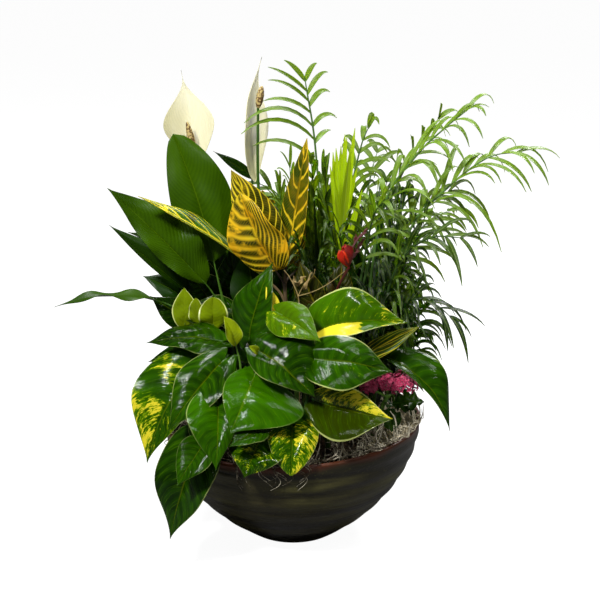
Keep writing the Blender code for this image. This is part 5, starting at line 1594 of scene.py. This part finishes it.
def strandPath(start, heading, points, step):
    # a curling walk that stays close above the soil
    spot, way = start.copy(), heading.normalized()
    bend = rng.uniform(-0.75, 0.75)
    lean = rng.uniform(-0.25, 0.25)
    path = [spot.copy()]
    for _ in range(points - 1):
        curl = bend + rng.uniform(-0.25, 0.25)
        lean = lean * 0.8 + rng.uniform(-0.22, 0.22)
        side = Vector((-way.y, way.x, 0.0))
        way = (way + side * curl + up * lean).normalized()
        spot = spot + way * step
        radius = math.hypot(spot.x, spot.y)
        rim = bowl["height"] + bowl["slant"] * spot.x / radius
        inside = bowlRadius(levelAt(spot.z, spot.x / radius)) - bowl["wall"] - moss["clear"]
        most = inside if spot.z < rim + 0.001 else bowl["rimRadius"] + 0.003
        if radius > most:
            spot.x *= most / radius
            spot.y *= most / radius
        floor = soilHeight(spot.x, spot.y) + 0.0008 if radius < inside else rim + 0.001
        if spot.z < floor:
            spot.z = floor
            way.z = abs(way.z) * 0.4
        path.append(spot.copy())
    return path


def hangingPath(angle, length):
    # over the rim and down the outside of the bowl
    inner, outer = bowl["rimRadius"] - 0.016, bowl["rimRadius"] + moss["clear"]
    rim = bowl["height"] + bowl["slant"] * math.cos(angle)
    over = moss["over"]
    path = []
    for step in range(17):
        share = step / 16
        run = share * (0.024 + length)
        turn = angle + 0.05 * math.sin(share * 5 + angle * 9) + 0.10 * share * math.sin(angle * 31)
        turn += 0.02 * math.sin(share * 13 + angle * 17)
        if run < over:
            radius = inner + (outer - inner) * run / over
            height = rim - 0.004 + 0.006 * math.sin(math.pi * run / 0.030)
        else:
            height = rim - (run - over)
            radius = bowlRadius(levelAt(height, math.cos(angle))) + 0.0030
            radius += 0.003 * math.sin(share * 7 + angle * 5) ** 2
        path.append(polar(radius, turn, height))
    return path


def strandObject(name, paths, radius, loose):
    curve = bpy.data.curves.new(name, "CURVE")
    curve.dimensions = "3D"
    curve.bevel_depth = radius
    curve.bevel_resolution = 0
    curve.use_fill_caps = True
    for order, path in enumerate([*paths, *loose]):
        spline = curve.splines.new("POLY")
        spline.points.add(len(path) - 1)
        thick = rng.uniform(0.6, 1.25) * (1.0 if order < len(paths) else 0.6)
        for i, (spot, place) in enumerate(zip(spline.points, path)):
            spot.co = (*place, 1.0)
            spot.radius = thick * (1.0 if i < len(path) - 2 else 0.6)
    thing = linked(name, curve)
    depsgraph = bpy.context.evaluated_depsgraph_get()
    mesh = bpy.data.meshes.new_from_object(thing.evaluated_get(depsgraph))
    bpy.data.objects.remove(thing)
    shape = newShape()
    shape.from_mesh(mesh)
    bmesh.ops.remove_doubles(shape, verts=shape.verts, dist=0.00001)
    return shape


def makeMoss():
    paths = []
    for _ in range(moss["strands"]):
        angle = rng.uniform(0.0, 2 * math.pi)
        radius = rng.uniform(moss["inner"], moss["outer"])
        start = polar(radius, angle)
        start.z = soilHeight(start.x, start.y) + rng.uniform(0.001, 0.008)
        tangent = Vector((-math.sin(angle), math.cos(angle), rng.uniform(-0.2, 0.3)))
        hand = rng.choice((-1, 1))
        heading = tangent * hand + Vector((rng.uniform(-0.7, 0.7), rng.uniform(-0.7, 0.7), 0.0))
        paths.append(strandPath(start, heading, rng.randint(8, moss["points"]), moss["step"]))
    for (x, y), spread, high, count in moss["heaps"]:
        for _ in range(count):
            turn, reach = rng.uniform(0.0, 2 * math.pi), spread * math.sqrt(rng.random())
            start = Vector((x + reach * math.cos(turn), y + reach * math.sin(turn), 0.0))
            start /= max(start.length / (moss["outer"] - 0.003), 1.0)
            start.z = (soilHeight(start.x, start.y) + 0.001
                       + high * rng.random() * (1 - reach / spread))
            heading = Vector((rng.uniform(-1, 1), rng.uniform(-1, 1), rng.uniform(-0.2, 0.4)))
            paths.append(strandPath(start, heading, rng.randint(10, 20), moss["step"] * 0.9))
    loose = []
    for angle, length in moss["hanging"]:
        for _ in range(2):
            loose.append(hangingPath(angle + rng.uniform(-0.03, 0.03),
                                     length * rng.uniform(0.5, 1.2)))
    shape = strandObject("moss", paths, moss["radius"], loose)
    makePiece("mossRing", shape, [mossStrand], ["moss_mat"], sharp=180)


mossStrand = makeMossMaterial()
makeMoss()
print("moss made:", moss["strands"], "strands")


# Floor, light and background

studio = {
    "floorRadius": 40.0,
    "floorGrey": 0.18,
    "floorGlow": 0.955,         # for the camera alone, so the floor reads as white paper
    "background": 1.0,
    "ambient": 0.10,
    "lights": {
        # name: place, size across and along, watts
        "softboxLeft": ((-0.60, -1.05, 1.35), 0.17, 0.17, 27.0),
        "stripFront": ((0.45, -0.80, 1.45), 0.06, 0.60, 7.0),
        "stripTop": ((-0.15, 0.45, 1.60), 0.08, 0.70, 20.0),
        "rimBack": ((0.75, 0.90, 1.20), 0.30, 0.30, 18.0),
    },
}


def addLight(name, place, across, along, power):
    lamp = bpy.data.lights.new(name, "AREA")
    lamp.shape = "RECTANGLE"
    lamp.size, lamp.size_y = across, along
    lamp.energy = power
    light = linked(name, lamp)
    light.location = place
    aim = Vector((0.0, 0.0, 0.22)) - Vector(place)
    light.rotation_euler = aim.to_track_quat("-Z", "Y").to_euler()


def makeStage():
    shape = bmesh.new()
    bmesh.ops.create_circle(shape, cap_ends=True, segments=96, radius=studio["floorRadius"])
    mesh = bpy.data.meshes.new("floor")
    shape.to_mesh(mesh)
    shape.free()
    floor = linked("floor", mesh)
    material, tree, shader = newMaterial("floorPale", Roughness=0.9, Specular_IOR_Level=0.1)
    grey = studio["floorGrey"]
    shader.inputs["Base Color"].default_value = (grey, grey, grey, 1.0)
    shader.inputs["Emission Color"].default_value = (1.0, 1.0, 1.0, 1.0)
    camera = addNode(tree, "LightPath").outputs["Is Camera Ray"]
    glow = times(tree, camera, studio["floorGlow"])
    tree.links.new(glow, shader.inputs["Emission Strength"])
    mesh.materials.append(material)
    world = bpy.data.worlds.new("studio")
    world.use_nodes = True
    tree = world.node_tree
    shader = tree.nodes["Background"]
    shader.inputs["Color"].default_value = (1.0, 1.0, 1.0, 1.0)
    camera = addNode(tree, "LightPath").outputs["Is Camera Ray"]
    strength = remap(tree, camera, 0.0, 1.0, studio["ambient"], studio["background"])
    tree.links.new(strength, shader.inputs["Strength"])
    bpy.context.scene.world = world
    for name, settings in studio["lights"].items():
        addLight(name, *settings)


makeStage()
bpy.context.scene.view_settings.view_transform = "Standard"
print("stage ready")
